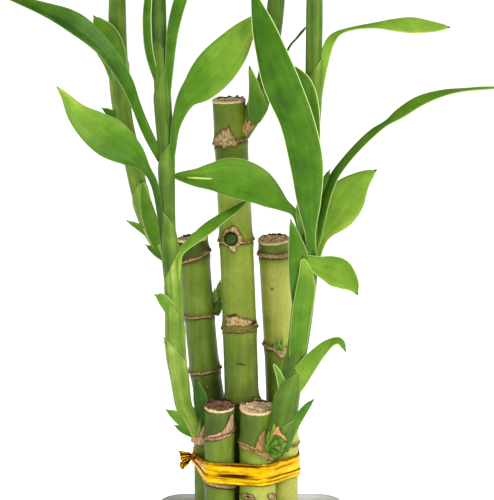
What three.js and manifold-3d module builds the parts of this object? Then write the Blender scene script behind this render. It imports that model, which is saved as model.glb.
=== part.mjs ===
// A lucky bamboo: seven cut canes of three lengths held by a gold foil tie, the leafy shoots that
// grow from their nodes, and the square white bowl of pebbles that the canes stand in.
// Millimetres, +Z up, the origin under the middle of the bowl; +X is to the right, +Y to the back.
import * as THREE from "three";
import { mergeVertices } from "three/addons/utils/BufferGeometryUtils.js";
import Module from "manifold-3d";

const wasm = await Module();
wasm.setup();

// Driving dimensions
const GAP = 0.3; // clearance between pieces that touch
const BLADE = 0.7; // thickness of a leaf blade, and its least width
const CHANNEL = 0.16; // how far the sides of a blade rise, as a share of its half width
const TIP = 0.8; // width at the point of a leaf
const CANE_FOOT = 8.3; // height at which the canes stand among the pebbles
const CANE_SIDES = 12;
const NODE_SWELL = 0.55; // how far the ring at a node stands out from its cane
const NODE_REACH = 2.2; // how far up and down a cane that swelling reaches
const SLOPE_REACH = 5; // how far up and down a cane the slope of a ring reaches
const CUT_EDGE = 0.6; // the worn edge of a cut top
const STEM_SIDES = 10;

// The bowl: its width at the rim and at the foot, and how far its foot and its lip are drawn in.
const BOWL = {
  rim: 70, foot: 60, height: 56, wall: 4.5, floor: 5.5, corner: 10, footEdge: 3, lip: 1.4,
};

const PEBBLES = {
  level: 45, pitch: 11.4, rows: 3, radius: 5.7, flatness: 0.66, jitter: 1.2, seed: 7,
};

// The foil tie: its edges, where it is pinched to its knot, and the three ends that stick out there
// as [x, y, z, width].
const TIE = {
  bottom: 74.2, top: 82.4, thickness: 0.8, clearance: 0.4,
  knot: [-21.3, -2.5], pinch: 0.5, pinchReach: 9, pinchRise: 3,
  ends: {
    neck: [[-20.6, -1.8, 79.4, 2.6], [-21.2, -3, 80.6, 2.2], [-22, -3.6, 81.2, 2.6]],
    flag: [[-21.4, -3.4, 81, 2], [-22.6, -4, 81.4, 4.6], [-24, -4.4, 80.8, 5.8], [-24.4, -4.4, 77.2, 1]],
    strand: [[-21.4, -2.9, 80, 1.2], [-20.8, -5, 82.4, 1.2], [-20.6, -5.4, 85.4, 0.8]],
  },
};

// Canes: the axis from foot to cut top as [x, y, z], the radius at the foot and at the top, and the
// nodes as [height, slope of the ring, from left to right].
const CANES = {
  cane_tall: {
    axis: [[0, 2.2, CANE_FOOT], [-2.5, 2.5, 78], [-4.9, 3.4, 150], [-7.9, 4.5, 211]],
    radii: [6.5, 5.9],
    nodes: [[38, 0], [66, 0.1], [101, 0], [129.8, 0.05], [159.5, -0.1], [195.5, 0.22]],
  },
  cane_left_mid: {
    axis: [[-13, 11.7, CANE_FOOT], [-13.3, 12, 78], [-17.6, 12, 116], [-21.2, 12, 159.5]],
    radii: [5.7, 5.5],
    nodes: [[32, 0], [60, 0], [87, 0.1], [108.2, 0], [129.7, 0], [151.8, 0.3]],
  },
  cane_right_mid: {
    axis: [[11, 9.2, CANE_FOOT], [11.2, 9.5, 78], [11, 9.5, 108], [8.2, 9.5, 159.5]],
    radii: [5.7, 5.6],
    nodes: [[30, 0], [58, 0], [88, 0], [117.5, -0.5], [153, -0.1]],
  },
  cane_front_left: {
    axis: [[-11.3, -10, CANE_FOOT], [-11.3, -10, 60], [-11.3, -10, 102]],
    radii: [5.7, 5.7],
    nodes: [[25, 0], [48, 0.1], [71.5, -0.25], [92.5, 0.35]],
  },
  cane_front_center: {
    axis: [[2.4, -12, CANE_FOOT], [2.4, -12, 60], [2.4, -12, 102]],
    radii: [7, 6.3],
    nodes: [[30, 0], [57, 0], [88.2, -0.4]],
  },
  cane_left_back: {
    axis: [[-15.7, 0.2, CANE_FOOT], [-15.7, 0.2, 60], [-15.7, 0.2, 98.5]],
    radii: [5, 5],
    nodes: [[33, 0], [60, 0], [88, 0.1]],
  },
  cane_right_back: {
    axis: [[12.1, -3, CANE_FOOT], [12.1, -3, 50], [12.1, -3, 92.5]],
    radii: [5.1, 5.1],
    nodes: [[28, 0], [58, 0.1], [86.5, 0]],
  },
};

// Round green buds on the canes: the cane, the place and the radius.
const BUDS = [
  ["cane_tall", [-7.1, -3.2, 162.5], 2.3],
  ["cane_right_mid", [10.4, 4.4, 121.2], 2.2],
];

// Shoots: the cane each grows from, the stem as [x, y, z, radius], and the leaves as
// [x, y, z, width, turn], where a turn of 0 shows the whole width to the front and a turn to either
// side tips the blade about its own midline, in degrees.
const SHOOTS = {
  shoot_left: {
    from: ["cane_left_back", "cane_front_left"],
    stem: [
      [-18.6, -3.4, 86.5, 2.2], [-21.4, -5.2, 95, 3], [-24.3, -6.4, 101, 3], [-25.6, -8.6, 111, 3.1],
      [-27, -9.8, 123, 3.4], [-27.4, -10, 141, 3.1], [-29.2, -10, 162, 2.8], [-29.6, -10, 178, 2.6],
      [-30, -10, 195, 2.8], [-31, -10, 212, 2.8], [-32, -10, 230, 2.6], [-32.6, -10, 247, 2.6],
      [-33, -10.2, 262, 1.6],
    ],
    leaves: [
      [[-19.5, -4.5, 89, 2.4], [-24, -6.6, 91.7, 2.6], [-27.9, -7.4, 94, 0.8]],
      [[-20.5, -5.5, 91.5, 3], [-25.3, -7.6, 96.4, 4.6], [-30.8, -8.4, 100, 0.8]],
      [[-26, -9, 117, 3.4], [-28.4, -11.6, 122.6, 3.4], [-31.2, -12, 127.5, 0.8]],
      [[-27, -10.5, 130, 3], [-28.7, -12.6, 137.4, 4.2], [-31.4, -13.4, 141.8, 4],
        [-34.4, -13.4, 143.4, 0.8]],
      // the narrow leaf that leans right across the canes
      [[-27.6, -11.6, 146, 3.6], [-26.8, -11.8, 152.6, 4.2, 10], [-25.6, -11, 157.6, 3.2, 20],
        [-22.8, -9.6, 160.2, 3, 30], [-18.8, -8.8, 163.4, 4.4, 38], [-15, -8.2, 166.4, 5, 38],
        [-10.2, -7.4, 169.8, 4.2, 38], [-5.2, -6.6, 173.2, 2.6, 30], [-1, -6, 176.2, 0.8, 20]],
      // the broad leaf that rises to the right
      [[-29, -11, 184, 2], [-27.6, -12.4, 194.6, 2.4], [-26.2, -13, 204, 3.4, 10],
        [-22.8, -13.2, 212.6, 6.8, 14], [-17.6, -12.8, 217.8, 12.4, 14], [-12.4, -12, 223.6, 14.6, 12],
        [-7, -11, 230, 12.6, 10], [-2.4, -10.2, 236.2, 8, 8], [4, -9.4, 243.4, 0.8]],
      // the broad bright leaf that leans left
      [[-30.8, -11.2, 158, 1.8], [-32.2, -12.6, 173, 2.2], [-34, -13.4, 183, 2.7, -6],
        [-37, -13.8, 188.6, 3.6, -12], [-41.6, -14.2, 193.6, 9.2, -16], [-48.8, -15, 199, 13.9, -16],
        [-55.2, -15.6, 203.6, 12, -14], [-60.6, -15.8, 208.4, 7.6, -10], [-64.8, -15.6, 214.4, 2.9],
        [-67.7, -15.4, 217.8, 0.8]],
      // the long arching leaf, top left
      [[-31.6, -10.6, 191, 2.6], [-37.2, -12.2, 202.6, 4, -34], [-40.5, -13, 211.2, 4.2, -38],
        [-43.9, -13.8, 219.6, 5.6, -38], [-51, -14.8, 230.6, 6.6, -36], [-61, -15, 239.4, 8.6, -34],
        [-72.4, -15, 244.8, 5, -30], [-87, -14, 249.6, 0.8, -20]],
      [[-31.8, -11, 216, 2], [-35.4, -12.4, 229, 3], [-36.2, -12.8, 240.6, 3.2], [-35.4, -12.6, 252, 2.6],
        [-34, -12, 272, 0.8]],
      [[-30.4, -11, 204, 2.4], [-28.6, -12, 223, 3], [-27.2, -12.6, 237, 4.2], [-23.6, -12.6, 250, 4.6],
        [-18, -12.4, 261, 3.4], [-12.5, -12, 270, 0.8]],
    ],
    crown: { at: [-33, -10.2, 258], start: 185, count: 5, reach: 38, rise: 62, width: 12.5 },
  },
  shoot_far_left: {
    from: ["cane_left_mid"],
    stem: [
      [-25, 12.4, 147, 2.2], [-28.4, 12.8, 150.4, 2.7], [-32, 13, 155, 2.9], [-35.6, 13, 161, 3],
      [-38.4, 13, 168, 3.1], [-40.4, 13.2, 175, 3.1], [-43.8, 13.4, 192, 3], [-46.4, 13.6, 204, 3.1],
      [-47.4, 13.8, 216, 3.4], [-48, 14, 232, 3.3], [-48, 14.2, 246, 3], [-48, 14.6, 258, 1.8],
    ],
    leaves: [
      [[-34.4, 12, 158, 2.6], [-39, 11, 162.4, 3], [-45.3, 11, 165.9, 0.8]],
      [[-29.6, 11.4, 150.6, 2.6], [-34, 10.2, 154, 3], [-38.5, 10, 157.2, 0.8]],
      [[-46, 12, 201, 2.6], [-50.2, 11, 204.8, 3], [-54, 11, 207.2, 0.8]],
      [[-46, 11.6, 212, 2.6], [-48, 10, 224.6, 7], [-50.7, 9.4, 233, 7.4], [-54.2, 9, 237.6, 4.8],
        [-56.3, 9, 240.6, 0.8]],
      [[-46.8, 12, 210, 3], [-49.4, 10.6, 218.4, 3.4], [-52.4, 10.4, 223.6, 1.8], [-55.9, 10.4, 228.2, 0.8]],
    ],
    crown: { at: [-48, 14.4, 254], start: 90, count: 6, reach: 40, rise: 54, width: 12.5 },
  },
  shoot_center: {
    from: ["cane_tall"],
    stem: [
      [-1.6, 3, 198, 2.6], [1, 2.8, 202, 3.1], [3, 3, 208, 3.3], [5.4, 3.4, 219, 3.1],
      [7.6, 3.8, 233, 3], [9, 4.2, 247, 3], [9.4, 4.6, 259, 1.7],
    ],
    leaves: [
      [[0.6, 0.6, 202, 3.4], [1, -1, 208.6, 4], [0.4, -1.4, 216.4, 2.6], [-0.4, -1.4, 223.6, 0.8]],
      [[2.6, 0.6, 204, 3.4], [3.2, -0.6, 212.4, 4], [2.4, -0.8, 221.4, 0.8]],
      [[9, 3.4, 219, 2.6, 74], [13.4, 1.6, 229.4, 3.4, 78], [16.4, 1.4, 233.2, 2.8, 74],
        [20, 1.4, 237.6, 0.8]],
    ],
    crown: { at: [9.2, 4.4, 255], start: 108, count: 5, reach: 36, rise: 46, width: 12 },
  },
  shoot_right: {
    from: ["cane_front_center", "cane_right_back"],
    stem: [
      [8.8, -15, 82.6, 3.6], [9.2, -15.6, 89.6, 5.2], [11.6, -15.2, 98.5, 4.7], [13.2, -14.6, 108, 4.2],
      [15.2, -14, 117, 3.8], [17, -13, 126.5, 3.7], [18.7, -12.4, 141, 3.7], [19.6, -12, 152, 3.7],
      [20.2, -11.6, 163, 3.3], [20.6, -11, 180, 3], [21.1, -10.6, 195, 2.9], [21.8, -10.2, 214, 2.9],
      [22, -10, 231, 2.9], [22.1, -10, 248, 2.8], [22.3, -10, 262, 1.6],
    ],
    leaves: [
      [[11.8, -16.6, 87, 3.4], [15.2, -18, 96, 3.4], [19.1, -18, 102.5, 2.8], [22.5, -18, 106.4, 0.8]],
      // the short leaf with the curled tip
      [[13.3, -15.4, 105.6, 4], [16.8, -17.2, 113, 6.6, 8], [20.6, -18, 119, 6.2, 12],
        [24.5, -18.6, 123.8, 4.8, 16], [28.8, -19, 127.2, 4, 56], [31.6, -19.4, 127.4, 3.4, 50],
        [33.6, -19.8, 124, 0.8]],
      [[12.2, -15.6, 105, 3.4], [11.2, -17, 111, 3.2], [9.8, -17.4, 115.6, 2.2], [7.7, -17.4, 119.6, 0.8]],
      // the bright leaf that droops to the right
      [[19.6, -14, 154, 4.4], [23.9, -16.2, 155, 6.4, 12], [27.4, -17.8, 153.6, 9, 16],
        [30.8, -19, 152.2, 10.8, 16], [33.6, -20, 150.2, 8.6, 14], [36, -20.6, 147.8, 4.8, 8],
        [37.5, -21, 144.8, 0.8]],
      // the broad pale leaf
      [[22.6, -10.4, 154, 2.6], [25.4, -9, 163.8, 5.2, 10], [31, -8.4, 171.6, 12.2, 14],
        [34.8, -8.2, 178.4, 13.2, 14], [39.4, -8.6, 183.8, 7, 10], [44.5, -9, 187.6, 0.8]],
      // the long arching leaf that leaves to the right
      [[21.4, -12.4, 157, 2.8], [24.4, -13, 169.3, 5.8, 52], [26.6, -13.2, 178.2, 6.4, 60],
        [29.4, -13.4, 185.2, 6.4, 65], [33.1, -13.6, 190.6, 6.2, 67], [37.7, -14, 196, 6, 68],
        [42.8, -14.4, 201, 5.6, 70], [47.6, -14.8, 204.6, 5, 78], [52.4, -15.2, 208.2, 5.4, 58],
        [59, -15.6, 212.5, 5.2, 52], [67.2, -16, 215.4, 3.8, 58], [76.5, -16.4, 216.8, 2, 60],
        [86.6, -16.8, 217.6, 0.8]],
      // the long broad dark leaf in front
      [[21.8, -14.4, 155, 3], [20.9, -16, 166, 4], [20.3, -16.8, 177.5, 8.6], [19.3, -17.4, 191.5, 11.8],
        [15.9, -17.6, 206, 12], [10.4, -17.4, 219.5, 12.8], [6.6, -16.8, 231, 10.4],
        [3.8, -15.8, 240, 7.4], [0.1, -14.4, 252.3, 0.8]],
      [[22, -12.4, 177, 3], [21.9, -14, 191.5, 4.4], [21, -14.8, 204, 6.6], [19.8, -14.9, 213.6, 6.8],
        [17.8, -14.6, 220, 5.2], [13.7, -14, 225.5, 0.8]],
      // the leaf at the top right with the twisted neck
      [[22.4, -10.6, 204, 2.4], [24.3, -10.8, 219, 3], [26, -11, 228, 3.4], [27.8, -11.2, 233, 3.6, 30],
        [31.2, -11.4, 236, 4.2, 72], [36.8, -11.6, 237.6, 4.4, 80], [44, -12, 238.4, 4.8, 68],
        [50, -12.4, 238.6, 5.6, 46], [56.3, -12.8, 238.6, 6.3, 36], [63.2, -13.2, 238.2, 4.2, 34],
        [69.3, -13.6, 238.2, 0.8, 20]],
      // the big leaf that lies across the tall cane
      [[19.2, -13.6, 159, 2.8], [17.7, -14.4, 168, 3.4], [15.3, -14.2, 173, 2.6], [11.4, -13, 175.6, 4.8, -8],
        [7.4, -12, 178.4, 9, -10], [2.5, -11.2, 181.8, 12.7, -10], [-2.8, -10.4, 184, 14.2, -10],
        [-8.2, -9.6, 185, 13.6, -10], [-13.8, -9, 185, 9.9, -10], [-18.8, -8.2, 184.6, 6.9, -8],
        [-23.8, -7.2, 184.8, 4.1, -6], [-28.4, -6.2, 185, 0.9]],
      [[22.4, -12.4, 176, 2.4], [25.6, -13.4, 183.6, 2.4], [27.8, -13.6, 188.4, 0.8]],
      [[18.8, -14, 164, 3], [17.2, -15.2, 171, 2.6], [16.2, -15.2, 177, 0.8]],
      [[18.2, -13.6, 143, 4.4], [16.6, -15, 154, 4.8], [15.2, -15.4, 163, 3.2], [14.1, -15.4, 170.6, 0.8]],
    ],
    crown: { at: [22.3, -10, 258], start: 285, count: 6, reach: 40, rise: 68, width: 13 },
  },
  shoot_sprout: {
    from: ["cane_left_mid"],
    stem: [[-13.6, 12.4, 130.6, 1.6], [-12.6, 12.8, 133.4, 1.8], [-12.2, 13, 136.6, 1]],
    leaves: [
      [[-12.5, 12.8, 133, 2.4], [-11.9, 13, 138, 3], [-11.2, 13, 143.6, 0.8]],
      [[-12.9, 12.2, 131.6, 2.2], [-13.2, 12, 136.5, 2.4], [-13.3, 12.2, 140.6, 0.8]],
    ],
  },
};

// The crown at the top of a shoot: the angle from each leaf to the next, how far below the others
// the outermost starts, how far it droops, and the course of a leaf from its base to its tip as
// [share of the reach, share of the rise, share of the width].
const CROWN = {
  turn: 137.5,
  depth: 14,
  droop: 0.3,
  course: [
    [0, 0, 0.22], [0.05, 0.2, 0.3], [0.16, 0.42, 0.66], [0.38, 0.68, 1], [0.7, 0.92, 0.74], [1, 1, 0.06],
  ],
};

// Colour, roughness and metalness of each material
const COLOURS = {
  bowl: ["#eef0ee", 0.18],
  pebbles: ["#9a9488", 0.6],
  cane_tall: ["#87963a", 0.5],
  cane_left_mid: ["#5d7d33", 0.5],
  cane_right_mid: ["#a3ab49", 0.5],
  cane_front_left: ["#5c7f38", 0.5],
  cane_front_center: ["#7a9145", 0.5],
  cane_left_back: ["#4f6b34", 0.5],
  cane_right_back: ["#6b8240", 0.5],
  tie: ["#e0b020", 0.3, 1],
  shoot: ["#5f9430", 0.45],
};

// Closed solids, joining and cutting

function signedVolume(positions, index) {
  const [a, b, c] = [new THREE.Vector3(), new THREE.Vector3(), new THREE.Vector3()];
  let volume = 0;
  for (let i = 0; i < index.length; i += 3) {
    a.fromArray(positions, 3 * index[i]);
    b.fromArray(positions, 3 * index[i + 1]);
    c.fromArray(positions, 3 * index[i + 2]);
    volume += a.dot(b.cross(c)) / 6;
  }
  return volume;
}

// A closed mesh becomes a solid; a mesh whose faces point inwards is turned inside out first.
function solid(geometry) {
  const bare = geometry.clone();
  bare.deleteAttribute("normal");
  bare.deleteAttribute("uv");
  const merged = mergeVertices(bare, 1e-4);
  const vertProperties = new Float32Array(merged.attributes.position.array);
  const triVerts = new Uint32Array(merged.index.array);
  if (signedVolume(vertProperties, triVerts) < 0) {
    triVerts.reverse();
  }
  const mesh = new wasm.Mesh({ numProp: 3, vertProperties, triVerts });
  mesh.merge();
  return new wasm.Manifold(mesh);
}

function geometryOf(manifold) {
  const mesh = manifold.getMesh();
  const geometry = new THREE.BufferGeometry();
  geometry.setAttribute("position", new THREE.BufferAttribute(mesh.vertProperties, 3));
  geometry.setIndex(new THREE.BufferAttribute(mesh.triVerts, 1));
  return geometry;
}

function fuse(solids) {
  return solids.reduce((whole, piece) => whole.add(piece));
}

// The largest connected body of a solid, without loose scraps.
function mainBody(manifold) {
  const bodies = manifold.decompose();
  return bodies.reduce((best, body) => (body.volume() > best.volume() ? body : best));
}

// Triangles over rings of equal length: round each ring, from ring to ring, and either closed with
// a fan at both ends or joined back to the first ring.
function skin(rings, joined = false) {
  const around = rings[0].length;
  const points = rings.flat();
  const index = [];
  const last = joined ? rings.length : rings.length - 1;
  for (let i = 0; i < last; i++) {
    const here = i * around;
    const there = ((i + 1) % rings.length) * around;
    for (let j = 0; j < around; j++) {
      const k = (j + 1) % around;
      index.push(here + j, here + k, there + k, here + j, there + k, there + j);
    }
  }
  if (!joined) {
    for (const [ring, end] of [[rings[0], 0], [rings.at(-1), rings.length - 1]]) {
      const middle = ring.reduce((sum, p) => sum.add(p), new THREE.Vector3()).divideScalar(around);
      points.push(middle);
      for (let j = 0; j < around; j++) {
        const k = (j + 1) % around;
        const edge = end === 0 ? [end * around + k, end * around + j] : [end * around + j, end * around + k];
        index.push(...edge, points.length - 1);
      }
    }
  }
  const geometry = new THREE.BufferGeometry().setFromPoints(points);
  geometry.setIndex(index);
  return geometry;
}

const vector = ([x, y, z]) => new THREE.Vector3(x, y, z);

function smoothCurve(points) {
  return new THREE.CatmullRomCurve3(points, false, "catmullrom", 0.5);
}

// A turned body, made upright on the Y axis, is laid along a curve from end to end.
function alongCurve(turned, curve, length, lift) {
  const position = turned.attributes.position;
  const forward = new THREE.Vector3(0, -1, 0);
  for (let i = 0; i < position.count; i++) {
    const [x, y, z] = [position.getX(i), position.getY(i), position.getZ(i)];
    const t = THREE.MathUtils.clamp(y / length, 0, 1);
    const tangent = curve.getTangent(t);
    const across = tangent.clone().cross(forward).normalize();
    const back = across.clone().cross(tangent);
    const place = curve.getPoint(t).addScaledVector(across, x).addScaledVector(back, z);
    place.z += lift(y, x);
    position.setXYZ(i, place.x, place.y, place.z);
  }
  return turned;
}

// Canes

// A smooth bump: 1 at no distance, and near 0 at twice its reach.
const bell = (distance, reach) => Math.exp(-((distance / reach) ** 2));

// The radius of a cane at one height: even between the nodes, with a low swelling at each.
function caneRadius(cane, height) {
  const foot = cane.axis[0][2];
  const top = cane.axis.at(-1)[2];
  const t = (height - foot) / (top - foot);
  const even = THREE.MathUtils.lerp(cane.radii[0], cane.radii[1], t);
  const swell = cane.nodes.map(([at]) => bell(height - at, NODE_REACH));
  return even + NODE_SWELL * Math.max(...swell);
}

// A cane, grown on every side by a clearance where it is to cut room for itself.
function caneSolid(cane, clearance = 0) {
  const foot = cane.axis[0][2] - clearance;
  const top = cane.axis.at(-1)[2] + clearance;
  const shown = cane.nodes.filter(([at]) => at > PEBBLES.level);
  const ring = [-3, -0.8, 1.4, 3.6]; // levels about a node at which its swelling is drawn
  const levels = shown.flatMap(([at]) => ring.map((level) => at + level));
  const heights = [foot, ...levels.filter((z) => z < top - NODE_REACH), top - CUT_EDGE];
  const profile = heights.map((z) => new THREE.Vector2(caneRadius(cane, z) + clearance, z - foot));
  profile.unshift(new THREE.Vector2(0, 0));
  profile.push(new THREE.Vector2(profile.at(-1).x - CUT_EDGE, top - foot));
  profile.push(new THREE.Vector2(0, top - foot));
  const turned = new THREE.LatheGeometry(profile, CANE_SIDES);
  const slope = (y, x) => cane.nodes.reduce(
    (sum, [at, tilt]) => sum + tilt * x * bell(y + foot - at, SLOPE_REACH), 0);
  const axis = cane.axis.map(vector);
  axis[0].z = foot;
  axis.at(-1).z = top;
  return solid(alongCurve(turned, heightCurve(axis), top - foot, slope));
}

// The middle of a cane at one height.
function caneMiddle(cane, height) {
  const rise = cane.axis.at(-1)[2] - CANE_FOOT;
  const share = Math.max(0, height - CANE_FOOT) / rise;
  return heightCurve(cane.axis.map(vector)).getPoint(share);
}

function circlePoints(middle, radius, sides) {
  return Array.from({ length: sides }, (_, i) => {
    const angle = (i / sides) * 2 * Math.PI;
    return [middle.x + radius * Math.cos(angle), middle.y + radius * Math.sin(angle)];
  });
}

// A plain round hole around one cane, from its foot to above the pebbles.
function caneHole(cane) {
  const radius = Math.max(...cane.radii) + NODE_SWELL + GAP;
  const rings = [CANE_FOOT - GAP, BOWL.height].map((height) => {
    const circle = circlePoints(caneMiddle(cane, height), radius, CANE_SIDES);
    return circle.map(([x, y]) => new THREE.Vector3(x, y, height));
  });
  return solid(skin(rings));
}

// A curve whose parameter is the height, so that a fraction of the length is a fraction of the rise.
function heightCurve(axis) {
  const curve = smoothCurve(axis);
  const [low, high] = [axis[0].z, axis.at(-1).z];
  const even = new THREE.Curve();
  even.getPoint = (t) => {
    const height = THREE.MathUtils.lerp(low, high, t);
    let [below, above] = [0, 1];
    const halvings = 24;
    for (let i = 0; i < halvings; i++) {
      const middle = (below + above) / 2;
      if (curve.getPoint(middle).z < height) {
        below = middle;
      } else {
        above = middle;
      }
    }
    return curve.getPoint((below + above) / 2);
  };
  return even;
}

// A bud is a small ball, a little flat from front to back and taller than wide.
function bud(place, radius) {
  const ball = new THREE.IcosahedronGeometry(radius, 1);
  ball.scale(1, 0.8, 1.15);
  ball.translate(...place);
  return solid(ball);
}

function caneWithBuds(name) {
  const own = BUDS.filter(([cane]) => cane === name).map(([, place, radius]) => bud(place, radius));
  return fuse([caneSolid(CANES[name]), ...own]);
}

// Shoots

const FRONT = new THREE.Vector3(0, -1, 0);

// A leaf blade along its midline. Stations are [x, y, z, width, turn]; the face is the direction
// that an unturned blade looks in. Both faces are split into triangles alike.
function bladeGeometry(stations, face = FRONT) {
  const midline = smoothCurve(stations.map(vector));
  const form = smoothCurve(stations.map(([, , , width, turn = 0]) => new THREE.Vector3(width, turn, 0)));
  const widest = Math.max(...stations.map(([, , , width]) => width));
  const rows = Math.max(4, stations.length - 1);
  const strips = widest > 7 ? 4 : 2; // a broad blade has room for more strips across
  const points = [];
  for (const side of [1, -1]) {
    for (let i = 0; i <= rows; i++) {
      const t = i / rows;
      const tangent = midline.getTangent(t);
      const { x: width, y: turn } = form.getPoint(t);
      const across = tangent.clone().cross(face).normalize().applyAxisAngle(
        tangent, THREE.MathUtils.degToRad(-turn));
      const normal = across.clone().cross(tangent);
      for (let j = 0; j <= strips; j++) {
        const u = (2 * j) / strips - 1;
        const half = Math.max(width, BLADE) / 2;
        const lift = CHANNEL * half * u * u + side * (BLADE / 2);
        const place = midline.getPoint(t).addScaledVector(across, half * u);
        points.push(place.addScaledVector(normal, lift));
      }
    }
  }
  return new THREE.BufferGeometry().setFromPoints(points).setIndex(bladeFaces(rows, strips));
}

function bladeFaces(rows, strips) {
  const index = [];
  const upper = (i, j) => i * (strips + 1) + j;
  const lower = (i, j) => (rows + 1) * (strips + 1) + upper(i, j);
  const quad = (a, b, c, d) => index.push(a, b, c, a, c, d);
  for (let i = 0; i < rows; i++) {
    for (let j = 0; j < strips; j++) {
      quad(upper(i, j), upper(i, j + 1), upper(i + 1, j + 1), upper(i + 1, j));
      index.push(lower(i, j), lower(i + 1, j + 1), lower(i, j + 1));
      index.push(lower(i, j), lower(i + 1, j), lower(i + 1, j + 1));
    }
    quad(upper(i, 0), upper(i + 1, 0), lower(i + 1, 0), lower(i, 0));
    quad(upper(i, strips), lower(i, strips), lower(i + 1, strips), upper(i + 1, strips));
  }
  for (let j = 0; j < strips; j++) {
    quad(upper(0, j), lower(0, j), lower(0, j + 1), upper(0, j + 1));
    quad(upper(rows, j), upper(rows, j + 1), lower(rows, j + 1), lower(rows, j));
  }
  return index;
}

// One leaf of a crown, numbered from the outermost, lowest and longest to the innermost: it rises
// beside the stem and then leans out and over.
function crownLeaf({ at, start, count, reach, rise, width }, number) {
  const azimuth = THREE.MathUtils.degToRad(start + CROWN.turn * number);
  const inner = number / (count - 1); // 0 for the outermost leaf, 1 for the innermost
  const out = reach * (1 - 0.7 * inner);
  const up = rise * (0.66 + 0.34 * inner);
  const low = -CROWN.depth * (1 - inner);
  const droop = CROWN.droop * (1 - inner);
  const stations = CROWN.course.map(([away, above, share]) => [
    at[0] + Math.cos(azimuth) * out * away,
    at[1] + Math.sin(azimuth) * out * away,
    at[2] + low + (up - low) * (above - droop * away ** 2),
    Math.max(TIP, width * share * (1 - 0.3 * inner)),
  ]);
  const face = new THREE.Vector3(-Math.cos(azimuth), -Math.sin(azimuth), 0.5).normalize();
  return bladeGeometry(stations, face);
}

function stemSolid(stem) {
  const curve = smoothCurve(stem.map(vector));
  const radii = smoothCurve(stem.map(([, , , radius]) => new THREE.Vector3(radius, 0, 0)));
  const steps = stem.length - 1;
  const profile = [new THREE.Vector2(0, 0)];
  for (let i = 0; i <= steps; i++) {
    profile.push(new THREE.Vector2(radii.getPoint(i / steps).x, i / steps));
  }
  profile.push(new THREE.Vector2(0, 1));
  return solid(alongCurve(new THREE.LatheGeometry(profile, STEM_SIDES), curve, 1, () => 0));
}

// A stem with all its leaves, cut clear of the canes that it grows from and past.
function shootSolid({ from, stem, leaves, crown }) {
  const blades = leaves.map((stations) => solid(bladeGeometry(stations)));
  for (let number = 0; number < (crown?.count ?? 0); number++) {
    blades.push(solid(crownLeaf(crown, number)));
  }
  const whole = fuse([stemSolid(stem), ...blades]);
  return mainBody(whole.subtract(fuse(from.map((name) => caneSolid(CANES[name], GAP)))));
}

// The tie

// The outline of a tight loop around the canes at one height, as points in order around it.
function loopOutline(height, clearance) {
  const sides = 20;
  const points = Object.values(CANES).flatMap((cane) => circlePoints(
    caneMiddle(cane, height), caneRadius(cane, height) + clearance, sides));
  return convexHull(points.map(([x, y]) => new THREE.Vector2(x, y)));
}

function convexHull(points) {
  const sorted = [...points].sort((a, b) => a.x - b.x || a.y - b.y);
  const turn = (a, b, c) => (b.x - a.x) * (c.y - a.y) - (b.y - a.y) * (c.x - a.x);
  const straight = 1e-9;
  const half = (list) => {
    const chain = [];
    for (const point of list) {
      while (chain.length > 1 && turn(chain.at(-2), chain.at(-1), point) <= straight) {
        chain.pop();
      }
      chain.push(point);
    }
    return chain.slice(0, -1);
  };
  return [...half(sorted), ...half(sorted.reverse())];
}

// Two strands of flat foil, side by side, pulled narrow where their ends are twisted together.
function tieBand() {
  const middle = (TIE.bottom + TIE.top) / 2;
  const half = (TIE.top - TIE.bottom) / 2;
  const outline = loopOutline(middle, TIE.clearance);
  const knot = new THREE.Vector2(...TIE.knot);
  // across the band, as [share of the thickness, share of the half height]
  const section = [[0, -1], [0.7, -1], [1, -0.5], [0.62, 0], [1, 0.5], [0.7, 1], [0, 1]];
  const rings = outline.map((point, i) => {
    const before = outline.at(i - 1);
    const after = outline[(i + 1) % outline.length];
    const outward = new THREE.Vector2(after.y - before.y, before.x - after.x).normalize();
    const pinch = TIE.pinch * bell(point.distanceTo(knot), TIE.pinchReach);
    return section.map(([out, up]) => new THREE.Vector3(
      point.x + outward.x * out * TIE.thickness,
      point.y + outward.y * out * TIE.thickness,
      middle + TIE.pinchRise * pinch + half * (1 - pinch) * up));
  });
  return solid(skin(rings, true));
}

// The band with its twisted neck, folded end and loose strand, clear of every cane.
function tieSolid() {
  const ends = Object.values(TIE.ends).map((stations) => solid(bladeGeometry(stations)));
  const canes = fuse(Object.values(CANES).map((cane) => caneSolid(cane, GAP)));
  return mainBody(fuse([tieBand(), ...ends]).subtract(canes));
}

// The bowl and its pebbles

// A level square outline with round corners, each of them in five steps.
function roundedSquare(side, corner, height) {
  const flat = side / 2 - corner;
  const outline = new THREE.Shape();
  outline.absarc(flat, flat, corner, 0, Math.PI / 2);
  outline.absarc(-flat, flat, corner, Math.PI / 2, Math.PI);
  outline.absarc(-flat, -flat, corner, Math.PI, 1.5 * Math.PI);
  outline.absarc(flat, -flat, corner, 1.5 * Math.PI, 2 * Math.PI);
  const steps = 5;
  return outline.getPoints(steps).slice(0, -1).map(({ x, y }) => new THREE.Vector3(x, y, height));
}

// The width of the bowl at one height: it widens quickly from its foot and slowly near its rim.
function bowlSide(height) {
  const share = Math.min(1, height / BOWL.height);
  return THREE.MathUtils.lerp(BOWL.foot, BOWL.rim, Math.sin((share * Math.PI) / 2));
}

function bowlSolid() {
  const { height, wall, floor, corner, footEdge, lip } = BOWL;
  const levels = [2, 12, 26, 40, height - lip];
  const outer = [
    roundedSquare(bowlSide(0) - footEdge, corner, 0),
    ...levels.map((z) => roundedSquare(bowlSide(z), corner, z)),
    roundedSquare(bowlSide(height) - lip, corner, height),
  ];
  const above = height + 1; // past the rim, so that the cut is open
  return solid(skin(outer)).subtract(solid(skin(bowlInside(floor, above, wall))));
}

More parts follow.
